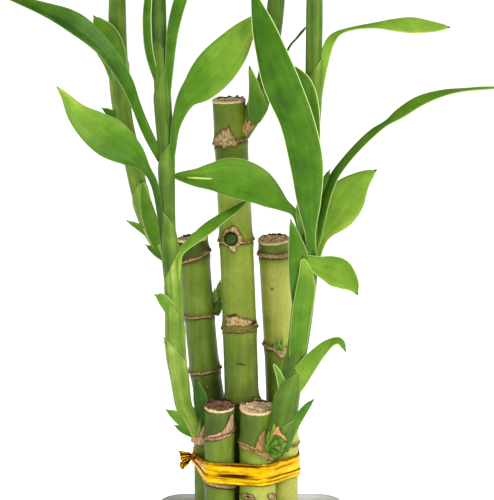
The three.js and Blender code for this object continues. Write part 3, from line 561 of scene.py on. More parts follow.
def cane_part(cane):
    """The side of a cane, marked with its tone, its dry tissue and its creases."""
    top = cane["axis"][-1][2]
    end = top - CUT_LIP - 0.3
    heights = np.concatenate([np.arange(CANE_FOOT, PEBBLE_LEVEL - 3, 4),
                              np.arange(PEBBLE_LEVEL - 3, end - 0.2, ROW_STEP), [end]])
    middle, radius = at_height(cane_course(cane), heights)
    across, back, _ = side_frames(middle)
    angle = np.linspace(0, 2 * np.pi, CANE_COLUMNS, endpoint=False)
    circle = rings_around(across, back, angle)
    levels, slopes, dry_reach = np.array([(*node, 0, 0)[:3] for node in cane["nodes"]]).T
    nearest = np.abs(heights[:, None] - levels).argmin(1)
    off = heights - levels[nearest]
    radius = radius + NODE_SWELL * bell(off, 2.2)
    grid = middle[:, None] + circle * radius[:, None, None]
    uneven = roughness_at(grid, 1.6)
    coarse = roughness_at(grid, 0.7, seed=9)
    ragged = off[:, None] + 0.35 * roughness_at(grid * (1, 1, 0.2), 2.5, seed=5)
    reach = dry_reach[nearest][:, None] * (1 + 0.3 * uneven)
    lip = 0.3 * bell(ragged - 0.2 + 0.3 * uneven, 0.4) - 0.32 * bell(ragged + 0.75, 0.4)
    dry = 0.5 + np.minimum(ragged + 0.5, reach + 0.45 - ragged)
    crease = np.maximum(0.85 * bell(ragged + 0.8, 0.34), 0.5 * bell(ragged - reach - 0.9, 0.3))
    crease = np.maximum(crease, 0.3 * bell(ragged, 1.9))
    lift = (slopes * bell(heights[:, None] - levels, 5)).sum(1)
    grid[..., 2] += (lift * radius)[:, None] * np.cos(angle)
    tilt = cane.get("tilt", 0) * bell(heights - top, 4)
    grid[..., 2] += tilt[:, None] * (grid - middle[:, None])[..., 1]
    front = np.sin(angle) > 0
    for kind in ("dry", "creased"):
        for outline in cane.get(kind, ()):
            depth = np.where(front, inside_depth(outline, grid[..., 0], grid[..., 2] + 0.3 * uneven), -5)
            if kind == "creased":
                crease = np.maximum(crease, np.clip(0.75 + 1.2 * depth, 0, 1))
                continue
            dry = np.maximum(dry, 0.5 + 0.8 * depth)
            outlined = (0.4 + 0.24 * uneven) * bell(depth, 0.3)
            crease = np.maximum(crease, outlined) * (1 - 0.6 * (depth > 0.3))
    dry = np.clip(dry, 0, 1)
    grid += circle * (lip + 0.2 * dry * (coarse + 0.6) + 0.05 * uneven - 0.15 * crease)[..., None]
    # The cosine term is painted shade: each cane is a little lighter on its right side and darker on its
    # left.
    tone = np.interp(heights, *zip(*cane["tones"]))[:, None] + 0.1 * np.cos(angle)
    return tube(grid, tone=tone, dry=dry, crease=crease)


# %% The cut end of a cane
END_RINGS = 14


def cut_part(cane):
    """The dried end of a cane: a lip down the side, a rim, and a rough face with rings in it."""
    top = cane["axis"][-1][2]
    middle, _ = at_height(cane_course(cane), np.array([top - 1, top]))
    across, back, along = (directions[-1] for directions in side_frames(middle))
    middle = middle[-1]
    angle = np.linspace(0, 2 * np.pi, CANE_COLUMNS, endpoint=False)
    circle = rings_around(across, back, angle)
    share = np.linspace(0.96, 0.04, END_RINGS)
    out = np.concatenate([[0.93, 1.015, 1.03, 1.0], share])[:, None]
    low = np.array([-CUT_LIP - 1.2, -CUT_LIP, -0.35, 0] + [-0.1] * END_RINGS)
    grid = middle + circle * cane["radii"][1] * out[..., None] + (along * low[:, None])[:, None]
    ragged = roughness_at(middle + circle * 6, 2.0, seed=7)
    behind, front = (np.clip(way * np.sin(angle) + 0.2, 0, 1) for way in (-1, 1))
    grid[1, :, 2] += 0.6 * ragged
    grid[2:5, :, 2] += 1.3 * behind * np.abs(roughness_at(middle + circle * 6, 0.9, seed=2))
    rough = roughness_at(grid, 0.8, seed=3)
    grid[4:, :, 2] += 0.75 * rough[4:] - 0.5 * (1 - share ** 4)[:, None]
    grid += circle * (0.12 * rough)[..., None]
    grid[..., 2] += cane.get("tilt", 0) * (grid[..., 1] - middle[1])
    # The edge mark: the rim is dark all round and painted darker behind, as shade; the pale line along the
    # front lip is a painted highlight.
    rim_dark_and_back_shade = np.array([0.2, 0.3, 0.5, 0.9, 0.95, 0.8] + [0.3] * (END_RINGS - 2))[:, None]
    front_rim_highlight = np.array([0, 0.6, 1.1, 1.3, 0.8, 0.1] + [0] * (END_RINGS - 2))[:, None]
    edge = rim_dark_and_back_shade * (0.25 + 0.8 * behind) - front_rim_highlight * np.clip(1.3 * front + 0.5 * ragged, 0, 1)
    return tube(grid, edge=edge, out=out)


for name, cane in CANES.items():
    make_piece(f"{name}_stalk", cane_part(cane), cane_skin, name)
    pith = dark_pith if name == "cane_front_left" else pale_pith
    make_piece(f"{name}_cut", cut_part(cane), pith, name)

# %% [markdown]
# ## Torn leaf bases on the canes
#
# The remnants of old leaf bases are thin dry flaps that stand a little off the cane. Each flap is a
# short table: how far to the side it is from the cane's middle, and between which heights it
# reaches there.

# %% Flaps
def flap_part(course, stations, stand_off, curl):
    """A thin torn sheet on the front of a cane or a stem, from stations of side, low and high."""
    side, low, high = smooth_curve(stations, 26).T[..., None]
    share = np.linspace(0, 1, 9)
    middle, radius = at_height(course, low + (high - low) * share)
    reach = radius + stand_off + curl * share ** 2
    lean = np.arcsin(np.clip(side / reach, -0.98, 0.98))
    out = np.stack([np.sin(lean), -np.cos(lean), 0 * lean], -1)
    grid = middle + reach[..., None] * out
    torn = roughness_at(grid, 0.9, seed=2)
    grid += out * (0.14 * torn)[..., None]
    grid[..., 2] += 0.35 * torn * share
    return thin_sheet(grid, out, 0.28)


for name, cane, material, stand_off, stations in (
        ("front_left_flap", "cane_front_left", pink_base, 0.4, [
            (-5.2, 89.9, 91), (-3.4, 90.3, 92.2), (-0.5, 90.8, 93.2), (1.7, 91.2, 94.6), (3.1, 91.6, 97),
            (4.2, 92.6, 99.4), (4.9, 95.6, 99.8)]),
        ("front_center_fibres", "cane_front_center", straw_base, 0.5, [
            (-0.8, 87.6, 88.6), (0.2, 87.2, 91.6), (1.4, 85.8, 94), (2.6, 84.6, 94.8), (3.6, 84, 89.4)]),
        ("front_center_band", "cane_front_center", straw_base, 0.25, [
            (-6.4, 88, 89.9), (-4.2, 87.5, 89.5), (-1.8, 86.9, 88.9), (0.6, 86, 87.9), (2.8, 85, 86.9)])):
    flap = flap_part(cane_course(CANES[cane]), stations, stand_off, 0.5)
    make_piece(name, flap, material, cane)

# %% [markdown]
# ## The skin of leaves and stems
#
# A leaf has a smooth cuticle with a soft gloss, and a great many fine veins that run side by side
# from its base to its tip, because this plant is related to lilies and not to oaks. The veins are
# a noise on the leaf's own coordinates, across and along in millimetres, that is stretched along
# the blade. They are about 0.4 mm apart, and a second, broader noise gathers them in bands. The
# very edge of a blade is a thin pale line that fades towards its base, the underside is duller,
# and the last millimetre of the tip is dry and brown. A little light passes through the blade,
# which a small share of subsurface scattering gives. The stems are wrapped in leaf bases, so they
# have the same skin in an olive green, with stronger bands.

# %% Leaf cuticle
LEAF_GREENS = [(0.0, "#2a4e08"), (0.25, "#42700a"), (0.5, "#5e8a20"), (0.75, "#80a532"), (1.0, "#a8c444")]
STEM_GREENS = [(0.0, "#304a12"), (0.3, "#507020"), (0.55, "#6b8a2c"), (0.8, "#8faa42"), (1.0, "#bccd74")]


def leaf_cuticle(add, greens, gloss, edge, banding):
    """A leaf or stem skin whose green is chosen by the mark called shade, from 0 to 1."""
    across, along, shade, inset, under, pale, tip = (
        add("Attribute", out="Fac", attribute_name=mark)
        for mark in ("across", "along", "shade", "inset", "under", "pale", "tip"))
    blade = add("CombineXYZ", (across, along))
    lengthwise = add("Mapping", {"Vector": blade, "Scale": (1, 0.035, 1)})
    veins, bands, clouds = (
        add("TexNoise", {"Vector": way, "Scale": scale, "Detail": detail, "Roughness": rough})
        for way, scale, detail, rough in (
            (lengthwise, 2.6, 2, 0.6), (lengthwise, 0.6, 1, 0.5), (blade, 0.12, 3, 0.6)))
    for pattern, share in ((veins, 0.2), (bands, banding), (clouds, 0.6)):
        shade = add("Math", (pattern, share, shade), operation="MULTIPLY_ADD")
    centred = add("Math", (shade, 0.4 + banding / 2), operation="SUBTRACT")
    dull = add("Math", (under, 0.3), operation="MULTIPLY")
    margin = add("Math", (add("MapRange", (inset, 0.34, 0.12)), pale), operation="MULTIPLY")
    dried = add("Math", (veins, 0.6, tip), operation="MULTIPLY_ADD")
    # over the green: the dull underside, the pale edge and the brown tip
    skin = add("ValToRGB", (centred,), greens)
    for share, over in ((dull, "#86a058"), (margin, edge), (add("MapRange", (dried, 0.8, 1.0)), "#4e3c18")):
        skin = add("Mix", {0: share, 6: skin, 7: over}, data_type="RGBA")
    return {
        "Base Color": skin, "Roughness": add("MapRange", (under, 0, 1, gloss, gloss + 0.15)), "IOR": 1.45,
        "Specular IOR Level": 0.2, "Subsurface Weight": 0.08, "Subsurface Scale": 1.2 * MM,
        "Subsurface Radius": (0.6, 1.0, 0.2),
        "Normal": add("Bump", {"Height": veins, "Strength": 0.3, "Distance": 0.15 * MM})}


cuticle = make_material("leaf cuticle", leaf_cuticle, LEAF_GREENS, 0.4, "#e2f2a4", 0.22)
sheath_skin = make_material("leaf sheath skin", leaf_cuticle, STEM_GREENS, 0.45, "#c8de90", 0.75)
scale_skin = make_material("bud scale skin", leaf_cuticle, LEAF_GREENS, 0.45, "#2c3010", 0.5)

# %% [markdown]
# ## The leafy shoots
#
# A shoot is a stem that is wrapped in the bases of its own leaves, and the leaves that leave it.
# A leaf could be a flat card with a leaf picture on it, but these leaves arch, twist and turn
# their edge to the viewer. So each blade is lofted along its midline. A station holds the place
# in mm, the width there, and a turn in degrees about the midline: at 0 the blade shows its whole
# width to the front. The blade is a shallow channel, with its sides a little higher than its
# middle, and thins towards its edges. A stem's stations hold the place and its radius.
#
# Three numbers before each leaf's stations tell its look: its shade where it starts and at its
# tip, from 0 for the deepest green to 1 for the brightest, and how pale its edges are. A shoot's
# own two shades are those of its stem, at the foot and at the top. A crown is where it starts,
# the direction in degrees of its first leaf, how many leaves it has, how far they reach and rise,
# and their width.

# %% The left shoot's stations
SHOOTS = {}
SHOOTS["shoot_left"] = {
    "shade": (0.8, 0.28),
    "stem": [(-18.6, -3.4, 86.5, 2.2), (-21.4, -5.2, 95, 3), (-24.3, -6.4, 101, 3),
        (-25.6, -8.6, 111, 3.1), (-27, -9.8, 123, 3.4), (-27.4, -10, 141, 3.1), (-29.2, -10, 162, 2.8),
        (-29.6, -10, 178, 2.6), (-30, -10, 195, 2.8), (-31, -10, 212, 2.8), (-32, -10, 230, 2.6),
        (-32.6, -10, 247, 2.6), (-33, -10.2, 262, 1.6)],
    "leaves": [
        ((0.15, 0.1, 0.1), [(-17.6, -5, 90, 2.5), (-17.6, -5.6, 95, 4.4), (-17.9, -5.6, 100, 5),
            (-18.6, -5.6, 105, 4.6), (-19.8, -6, 110.5, 0.8)]),
        ((0.45, 0.3, 0.1), [(-19.5, -4.5, 89, 2.4), (-24, -6.6, 91.7, 2.6), (-27.9, -7.4, 94, 0.8)]),
        ((0.55, 0.45, 0.1), [(-20.5, -5.5, 91.5, 3), (-25.3, -7.6, 96.4, 4.6), (-30.8, -8.4, 100, 0.8)]),
        ((0.6, 0.5, 0.3), [(-26, -9, 117, 3.4), (-28.4, -11.6, 122.6, 3.4), (-31.2, -12, 127.5, 0.8)]),
        ((0.5, 0.55, 0.4), [(-27, -10.5, 130, 3), (-28.7, -12.6, 137.4, 4.2), (-31.4, -13.4, 141.8, 4),
            (-34.4, -13.4, 143.4, 0.8)]),
        ((0.8, 0.15, 0.3), [(-27.6, -11.6, 146, 3.6), (-26.8, -11.8, 152.6, 4.2, 10),
            (-25.6, -11, 157.6, 3.2, 20), (-22.8, -9.6, 160.2, 3, 30), (-18.8, -8.8, 163.4, 4.4, 38),
            (-15, -8.2, 166.4, 5, 38), (-10.2, -7.4, 169.8, 4.2, 38), (-5.2, -6.6, 173.2, 2.6, 30),
            (-1, -6, 176.2, 0.8, 20)]),
        ((0.2, 0.86, 0.2), [(-29, -11, 184, 2), (-27.6, -12.4, 194.6, 2.4), (-26.2, -13, 204, 3.4, 10),
            (-22.8, -13.2, 212.6, 6.8, 14), (-17.6, -12.8, 217.8, 12.4, 14),
            (-12.4, -12, 223.6, 14.6, 12), (-7, -11, 230, 12.6, 10), (-2.4, -10.2, 236.2, 8, 8),
            (4, -9.4, 243.4, 0.8)]),
        ((0, 0.96, 0.15), [(-30.8, -11.2, 158, 1.8), (-32.2, -12.6, 173, 2.2),
            (-34, -13.4, 183, 2.7, -6), (-37, -13.8, 188.6, 3.6, -12), (-41.6, -14.2, 193.6, 9.2, -16),
            (-48.8, -15, 199, 13.9, -16), (-55.2, -15.6, 203.6, 12, -14),
            (-60.6, -15.8, 208.4, 7.6, -10), (-64.8, -15.6, 214.4, 2.9), (-67.7, -15.4, 217.8, 0.8)]),
        ((0.24, 0.1, 0.2), [(-31.6, -10.6, 191, 2.6), (-37.2, -12.2, 202.6, 4, -34),
            (-40.5, -13, 211.2, 4.2, -38), (-43.9, -13.8, 219.6, 5.6, -38),
            (-51, -14.8, 230.6, 6.6, -36), (-61, -15, 239.4, 8.6, -34), (-72.4, -15, 244.8, 5, -30),
            (-87, -14, 249.6, 0.8, -20)]),
        ((0.15, 0.25, 0.8), [(-31.8, -11, 216, 2), (-35.4, -12.4, 229, 3), (-36.2, -12.8, 240.6, 3.2),
            (-35.4, -12.6, 252, 2.6), (-34, -12, 272, 0.8)]),
        ((0.2, 0.3, 0.3), [(-30.4, -11, 204, 2.4), (-28.6, -12, 223, 3), (-27.2, -12.6, 237, 4.2),
            (-23.6, -12.6, 250, 4.6), (-18, -12.4, 261, 3.4), (-12.5, -12, 270, 0.8)])],
    "crown": ((-33, -10.2, 258), 185, 5, 38, 62, 12.5)}

# %% The far left shoot's stations
SHOOTS["shoot_far_left"] = {
    "shade": (0.78, 0.42),
    "stem": [(-25, 12.4, 147, 2.2), (-28.4, 12.8, 150.4, 2.7), (-32, 13, 155, 2.9), (-35.6, 13, 161, 3),
        (-38.4, 13, 168, 3.1), (-40.4, 13.2, 175, 3.1), (-43.8, 13.4, 192, 3), (-46.4, 13.6, 204, 3.1),
        (-47.4, 13.8, 216, 3.4), (-48, 14, 232, 3.3), (-48, 14.2, 246, 3), (-48, 14.6, 258, 1.8)],
    "leaves": [
        ((0.38, 0.42, 0.4), [(-31.6, 11.6, 152, 3), (-33.6, 9.9, 158, 5.4), (-36.2, 9.5, 165, 5.8),
            (-38.2, 9.6, 173, 4.4), (-39.4, 9.8, 181, 0.8)]),
        ((0.65, 0.5, 0.2), [(-34.4, 12, 158, 2.6), (-39, 11, 162.4, 3), (-45.3, 11, 165.9, 0.8)]),
        ((0.35, 0.2, 0.1), [(-29.6, 11.4, 150.6, 2.6), (-34, 10.2, 154, 3), (-38.5, 10, 157.2, 0.8)]),
        ((0.3, 0.2, 0.1), [(-46, 12, 201, 2.6), (-50.2, 11, 204.8, 3), (-54, 11, 207.2, 0.8)]),
        ((0.35, 0.5, 0.8), [(-46, 11.6, 212, 2.6), (-48, 10, 224.6, 7), (-50.7, 9.4, 233, 7.4),
            (-54.2, 9, 237.6, 4.8), (-56.3, 9, 240.6, 0.8)]),
        ((0.6, 0.6, 0.2), [(-46.8, 12, 210, 3), (-49.4, 10.6, 218.4, 3.4), (-52.4, 10.4, 223.6, 1.8),
            (-55.9, 10.4, 228.2, 0.8)])],
    "crown": ((-48, 14.4, 254), 90, 6, 40, 54, 12.5)}

# %% The stations of the shoot on the tall cane and of the sprout
SHOOTS["shoot_center"] = {
    "shade": (0.4, 0.4),
    "stem": [(-2.8, 3, 198, 2), (-1.1, 2.8, 202, 2.6), (0.8, 2.9, 206, 3.1), (3.2, 3, 211.5, 3.3),
        (5.4, 3.4, 219, 3.1), (7.6, 3.8, 233, 3), (9, 4.2, 247, 3), (9.4, 4.6, 259, 1.7)],
    "leaves": [
        ((0.32, 0.7, 0.4), [(0.6, 0.4, 203, 3), (2.1, -1.2, 209, 6.6), (1.3, -1.4, 215.5, 4.2),
            (-0.6, -1.4, 223.6, 0.8)]),
        ((0.4, 0.5, 0.1), [(2, 0.2, 203.6, 2.6), (3.9, -1.4, 209, 4.6), (5.2, -1, 214, 3.2),
            (5.8, -0.4, 219, 0.8)]),
        ((0.25, 0.1, 0), [(9, 3.4, 219, 1.4, 74), (13.4, 1.6, 229.4, 1.6, 78),
            (16.4, 1.4, 233.2, 1.4, 74), (20, 1.4, 237.6, 0.6)])],
    "crown": ((9.2, 4.4, 255), 108, 5, 36, 46, 12)}
SHOOTS["shoot_sprout"] = {
    "shade": (0.4, 0.4),
    "stem": [(-13.6, 12.4, 130.6, 1.6), (-12.6, 12.8, 133.4, 1.8), (-12.2, 13, 136.6, 1)],
    "leaves": [
        ((0.6, 0.9, 0.6), [(-12.5, 12.8, 133, 2.4), (-11.9, 13, 138, 3), (-11.2, 13, 143.6, 0.8)]),
        ((0.75, 0.9, 0.6), [(-12.9, 12.2, 131.6, 2.2), (-13.2, 12, 136.5, 2.4),
            (-13.3, 12.2, 140.6, 0.8)])]}

# %% The right shoot's stations
SHOOTS["shoot_right"] = {
    "shade": (0.28, 0.36),
    "stem": [(8.8, -14.8, 85, 2.6), (9.2, -15.6, 90, 5), (11.6, -15.2, 98.5, 4.7),
        (13.2, -14.6, 108, 4.2), (15.2, -14, 117, 3.8), (17, -13, 126.5, 3.7), (18.7, -12.4, 141, 3.7),
        (19.6, -12, 152, 3.7), (20.2, -11.6, 163, 3.3), (20.6, -11, 180, 3), (21.1, -10.6, 195, 2.9),
        (21.8, -10.2, 214, 2.9), (22, -10, 231, 2.9), (22.1, -10, 248, 2.8), (22.3, -10, 262, 1.6)],
    "leaves": [
        ((0.5, 0.2, 0.1), [(11.8, -16.6, 87, 3.4), (15.2, -18, 96, 3.4), (19.1, -18, 102.5, 2.8),
            (22.5, -18, 106.4, 0.8)]),
        ((0.7, 0.45, 0.5), [(13.3, -15.4, 105.6, 4), (16.8, -17.2, 113, 6.6, 8),
            (20.6, -18, 119, 6.2, 12), (24.5, -18.6, 123.8, 4.8, 16), (28.8, -19, 127.2, 4, 56),
            (31.6, -19.4, 127.4, 3.4, 50), (33.6, -19.8, 124, 0.8)]),
        ((0.5, 0.5, 0.7), [(12.2, -15.6, 105, 3.4), (11.2, -17, 111, 3.2), (9.8, -17.4, 115.6, 2.2),
            (7.7, -17.4, 119.6, 0.8)]),
        ((0.62, 0.66, 0.8), [(17.6, -15.9, 157.8, 0.8), (20.4, -16.5, 156.4, 4), (24, -17, 154.6, 7, 12),
            (27.4, -17.8, 153.6, 9.4, 16), (30.8, -19, 152.2, 10.8, 16), (33.6, -20, 150.2, 8.6, 14),
            (36, -20.6, 147.8, 4.8, 8), (37.5, -21, 144.8, 0.8)]),
        ((0.72, 0.66, 0.2), [(22.6, -10.4, 154, 2.6), (25.4, -9, 163.8, 5.2, 10),
            (31, -8.4, 171.6, 12.2, 14), (34.8, -8.2, 178.4, 13.2, 14), (39.4, -8.6, 183.8, 7, 10),
            (44.5, -9, 187.6, 0.8)]),
        ((0.45, 0.42, 0.5), [(21.4, -12.4, 157, 2.8), (24.4, -13, 169.3, 5.8, 52),
            (26.6, -13.2, 178.2, 6.4, 60), (29.4, -13.4, 185.2, 6.4, 65), (33.1, -13.6, 190.6, 6.2, 67),
            (37.7, -14, 196, 6, 68), (42.8, -14.4, 201, 5.6, 70), (47.6, -14.8, 204.6, 5, 78),
            (52.4, -15.2, 208.2, 5.4, 58), (59, -15.6, 212.5, 5.2, 52), (67.2, -16, 215.4, 3.8, 58),
            (76.5, -16.4, 216.8, 2, 60), (86.6, -16.8, 217.6, 0.8)]),
        ((0.28, 0.16, 1), [(21.8, -14.4, 155, 3), (20.9, -16, 166, 4), (20.3, -16.8, 177.5, 8.6),
            (19.3, -17.4, 191.5, 11.8), (15.9, -17.6, 206, 12), (10.4, -17.4, 219.5, 12.8),
            (6.6, -16.8, 231, 10.4), (3.8, -15.8, 240, 7.4), (0.1, -14.4, 252.3, 0.8)]),
        ((0.3, 0.3, 0.9), [(22, -12.4, 177, 3), (21.9, -14, 191.5, 4.4), (21, -14.8, 204, 6.6),
            (19.8, -14.9, 213.6, 6.8), (17.8, -14.6, 220, 5.2), (13.7, -14, 225.5, 0.8)]),
        ((0.72, 0.74, 0.3), [(22.4, -10.6, 204, 2.4), (24.3, -10.8, 219, 3), (26, -11, 228, 3.4),
            (27.8, -11.2, 233, 3.6, 30), (31.2, -11.4, 236, 4.2, 72), (36.8, -11.6, 237.6, 4.4, 80),
            (44, -12, 238.4, 4.8, 68), (50, -12.4, 238.6, 5.6, 46), (56.3, -12.8, 238.6, 6.3, 36),
            (63.2, -13.2, 238.2, 4.2, 34), (69.3, -13.6, 238.2, 0.8, 20)]),
        ((0.4, 0.42, 0.3), [(19.2, -13.6, 159, 2.8), (17.7, -14.4, 168, 3.4), (15.3, -14.2, 173, 2.6),
            (11.4, -13, 175.6, 4.8, -8), (7.4, -12, 178.4, 9, -10), (2.5, -11.2, 181.8, 12.7, -10),
            (-2.8, -10.4, 184, 14.2, -10), (-8.2, -9.6, 185, 13.6, -10), (-13.8, -9, 185, 9.9, -10),
            (-18.8, -8.2, 184.6, 6.9, -8), (-23.8, -7.2, 184.8, 4.1, -6), (-28.4, -6.2, 185, 0.9)]),
        ((0.3, 0.2, 0), [(22.4, -12.4, 176, 2.4), (25.6, -13.4, 183.6, 2.4), (27.8, -13.6, 188.4, 0.8)]),
        ((0.6, 0.6, 0.2), [(18.8, -14, 164, 3), (17.2, -15.2, 171, 2.6), (16.2, -15.2, 177, 0.8)]),
        ((0.3, 0.35, 0.4), [(17.4, -12.6, 130, 3), (17.4, -14.8, 140, 5.6), (17.2, -15.8, 149, 7.4),
            (16.7, -16.2, 157.5, 7.2), (15.3, -16.2, 165, 4), (13.9, -15.8, 171, 0.8)]),
        ((0.36, 0.8, 0.5), [(15.6, -14.4, 116, 4), (16.6, -16.6, 124, 6), (17.7, -17.2, 134.9, 7),
            (19.3, -17, 145.7, 7), (19.4, -17, 151.5, 5.2), (18.6, -16.9, 155.4, 2.8),
            (18.1, -16.8, 158, 0.8)])],
    "crown": ((22.3, -10, 258), 285, 6, 40, 68, 13)}
print("leaves:", {name: len(shoot["leaves"]) for name, shoot in SHOOTS.items()})

# %% One blade
CHANNEL = 0.16  # how far a blade's sides rise, as a share of its half width
BLADE_COLUMNS = 13
BLADE_ROW = 1.4  # mm between rows along a blade
BLADE_MIDDLE = 0.6
BLADE_EDGE = 0.2  # thickness at the edge


def with_turns(stations):
    """A leaf's stations, with a turn of 0 where none is given."""
    return np.array([(*station, 0)[:5] for station in stations], float)


def blade_part(stations, look, face=(0, -1, 0)):
    """A lofted leaf blade, closed all around; its look is its two shades and its pale edge."""
    shade, tip_shade, pale = look
    stations = with_turns(stations)
    length = course_length(stations[:, :3])[-1]
    rows = max(14, round(length / BLADE_ROW))
    course = smooth_curve(stations, rows)
    flat, behind, along = side_frames(course[:, :3], face)
    turn = np.radians(course[:, 4:])
    across = flat * np.cos(turn) + behind * np.sin(turn)
    normal = np.cross(across, along)[:, None]
    u = np.linspace(-1, 1, BLADE_COLUMNS)
    travelled = course_length(course[:, :3])[:, None]
    left = travelled[-1] - travelled
    half = np.maximum(course[:, 3:4], 0.3) / 2 * np.clip(left / 1.6, 0.3, 1)
    wave = 0.05 * half * np.sin(travelled / 7 + 2 * shade + np.sign(u) * 1.3) * np.abs(u) ** 3
    pleat = 0.10 * np.cos(u * np.pi * 3) * np.minimum(half / 6, 1)
    lift = CHANNEL * half * u ** 2 + wave + pleat
    grid = course[:, None, :3] + across[:, None] * (half * u)[..., None] + normal * lift[..., None]
    share = np.linspace(0, 1, rows)[:, None]
    return thin_sheet(
        grid, normal, BLADE_EDGE + (BLADE_MIDDLE - BLADE_EDGE) * (1 - np.abs(u) ** 3),
        across=u * half.max(), along=travelled + 40 * shade,
        shade=shade + (tip_shade - shade) * share ** 1.4 + 0.09 * u, inset=(1 - np.abs(u)) * half,
        pale=pale * np.minimum(0.2 + 2 * share, 1), tip=np.clip(1 - left / min(2.2, 0.1 * length), 0, 1))


# %% A crown of leaves above the last one in the picture
CROWN_TURN = 137.5  # degrees from each leaf to the next, as such plants set their leaves
CROWN_SINK = 14  # mm that the outermost leaf starts below the innermost
CROWN_COURSE = np.array([(0, 0, 0.22), (0.05, 0.2, 0.3), (0.16, 0.42, 0.66), (0.38, 0.68, 1),
                         (0.7, 0.92, 0.74), (1, 1, 0.06)])  # shares of reach, rise and width


def crown_parts(base, start, count, reach, rise, width):
    """The leaves of a crown, from the outermost and lowest to the innermost."""
    away, above, wide = CROWN_COURSE.T[..., None]
    parts = []
    for number in range(count):
        azimuth = math.radians(start + CROWN_TURN * number)
        side = np.array([math.cos(azimuth), math.sin(azimuth), 0])
        inner = number / (count - 1)
        outer = 1 - inner
        sink = CROWN_SINK * outer
        up = rise * (0.66 + 0.34 * inner) + sink
        height = up * (above - 0.3 * outer * away ** 2) - sink
        place = base + side * reach * (1 - 0.7 * inner) * away + height * (0, 0, 1)
        stations = np.hstack([place, np.maximum(0.8, width * wide * (1 - 0.3 * inner))])
        parts.append(blade_part(stations, (0.4, 0.4 + 0.15 * inner, 0.3), unit((0, 0, 0.5) - side)))
    return parts


# %% [markdown]
# ### Stems and the sheaths around them
#
# What looks like a stem here is mostly leaf bases. Each leaf clasps the stem below it as a sheath,
# and the mouth of the sheath runs down in a slant from the leaf to the far side, with a thin pale
# edge. The stem is a tube along its own stations. Each sheath is a thin sheet wrapped around it,
# with its mouth where its leaf bends away.

# %% Stem and sheaths
STEM_COLUMNS = 36
SHEATH_COLUMNS = 25
SHEATH_ROWS = 22
SHEATH_TURN = 0.84 * math.pi  # how far a sheath reaches round the stem, to each side
SHEATH_LENGTH = 44  # mm from its mouth down to where it starts
MOUTH_SLANT = 16  # mm that a mouth would run down on its way to the far side
MOUTH_GAP = 5  # mm along the stem; of sheaths that open closer than this, one is made


def shade_at(shades, share):
    """A stem's shade at a share of its length, from its shades at the foot and at the top."""
    return shades[0] + (shades[1] - shades[0]) * share ** 0.7


def stem_part(stem, shades):
    """A round stem with faint ribs along it, and its shades at the foot and at the top."""
    length = course_length(np.array(stem)[:, :3])[-1]
    course = smooth_curve(stem, max(12, round(length / 1.5)))
    across, back, _ = side_frames(course[:, :3])
    angle = np.linspace(0, 2 * np.pi, STEM_COLUMNS, endpoint=False)
    radius = course[:, 3:4] * (1 + 0.006 * np.cos(9 * angle))
    travelled = course_length(course[:, :3])[:, None]
    return tube(
        course[:, None, :3] + rings_around(across, back, angle) * radius[..., None],
        across=np.abs(angle - np.pi) * 3, along=travelled,
        shade=shade_at(shades, travelled / travelled[-1]), inset=5, under=0, pale=0, tip=0)


def sheath_part(stem, stations, shades, brighter):
    """A sheath and its mouth's height, or no sheath where the leaf never lies along the stem."""
    course = smooth_curve(stem, 240)
    leaf = smooth_curve(with_turns(stations), 60)[:, :3]
    gap = np.linalg.norm(leaf[:, None] - course[None, :, :3], axis=2)
    nearest = gap.argmin(1)
    clasped = gap.min(1) < course[nearest, 3] + 1.4
    if not clasped.any():
        return None, 0
    last = np.nonzero(clasped)[0][-1]
    mouth = nearest[last]
    travelled = course_length(course[:, :3])
    across, back, _ = side_frames(course[:, :3])
    away = leaf[last] - course[mouth, :3]
    lean = math.atan2(away @ back[mouth], away @ across[mouth])
    angle = np.linspace(-SHEATH_TURN, SHEATH_TURN, SHEATH_COLUMNS)
    top = travelled[mouth] - 0.5 - MOUTH_SLANT * np.abs(angle / math.pi) ** 1.5
    bottom = travelled[mouth] - SHEATH_LENGTH
    share = np.linspace(0, 1, SHEATH_ROWS)[:, None]
    height = np.clip(bottom + (top - bottom) * share, 0.2, travelled[-1])
    columns = np.hstack([course[:, :4], across, back]).T
    values = np.stack([np.interp(height, travelled, column) for column in columns], -1)
    radius, side, rear = values[..., 3], values[..., 4:7], values[..., 7:]
    turn = (angle + lean + 0.25 * (1 - share))[..., None]
    out = side * np.cos(turn) + rear * np.sin(turn)
    grid = values[..., :3] + out * (radius - 0.5 + 0.85 * share ** 0.7)[..., None]
    shade = shade_at(shades, travelled[mouth] / travelled[-1]) + brighter - 0.15
    to_side = (SHEATH_TURN - np.abs(angle)) * radius
    return thin_sheet(
        grid, out, 0.2, across=angle * 3, along=height, shade=shade + 0.15 * share ** 3,
        inset=np.minimum((1 - share) * (top - bottom), to_side), pale=0.4, tip=0), travelled[mouth]


# %% All shoots
for name, shoot in SHOOTS.items():
    stem, shades = shoot["stem"], shoot["shade"]
    blades = [blade_part(stations, look) for look, stations in shoot["leaves"]]
    if "crown" in shoot:
        blades += crown_parts(*shoot["crown"])
    make_piece(f"{name}_blades", gather(blades), cuticle, name)
    parts, mouths = [stem_part(stem, shades)], []
    for look, stations in shoot["leaves"]:
        sheath, mouth = sheath_part(stem, stations, shades, 0.25 * look[0])
        if sheath and all(abs(mouth - other) > MOUTH_GAP for other in mouths):
            mouths.append(mouth)
            parts.append(sheath)
    make_piece(f"{name}_stem", gather(parts), sheath_skin, name)
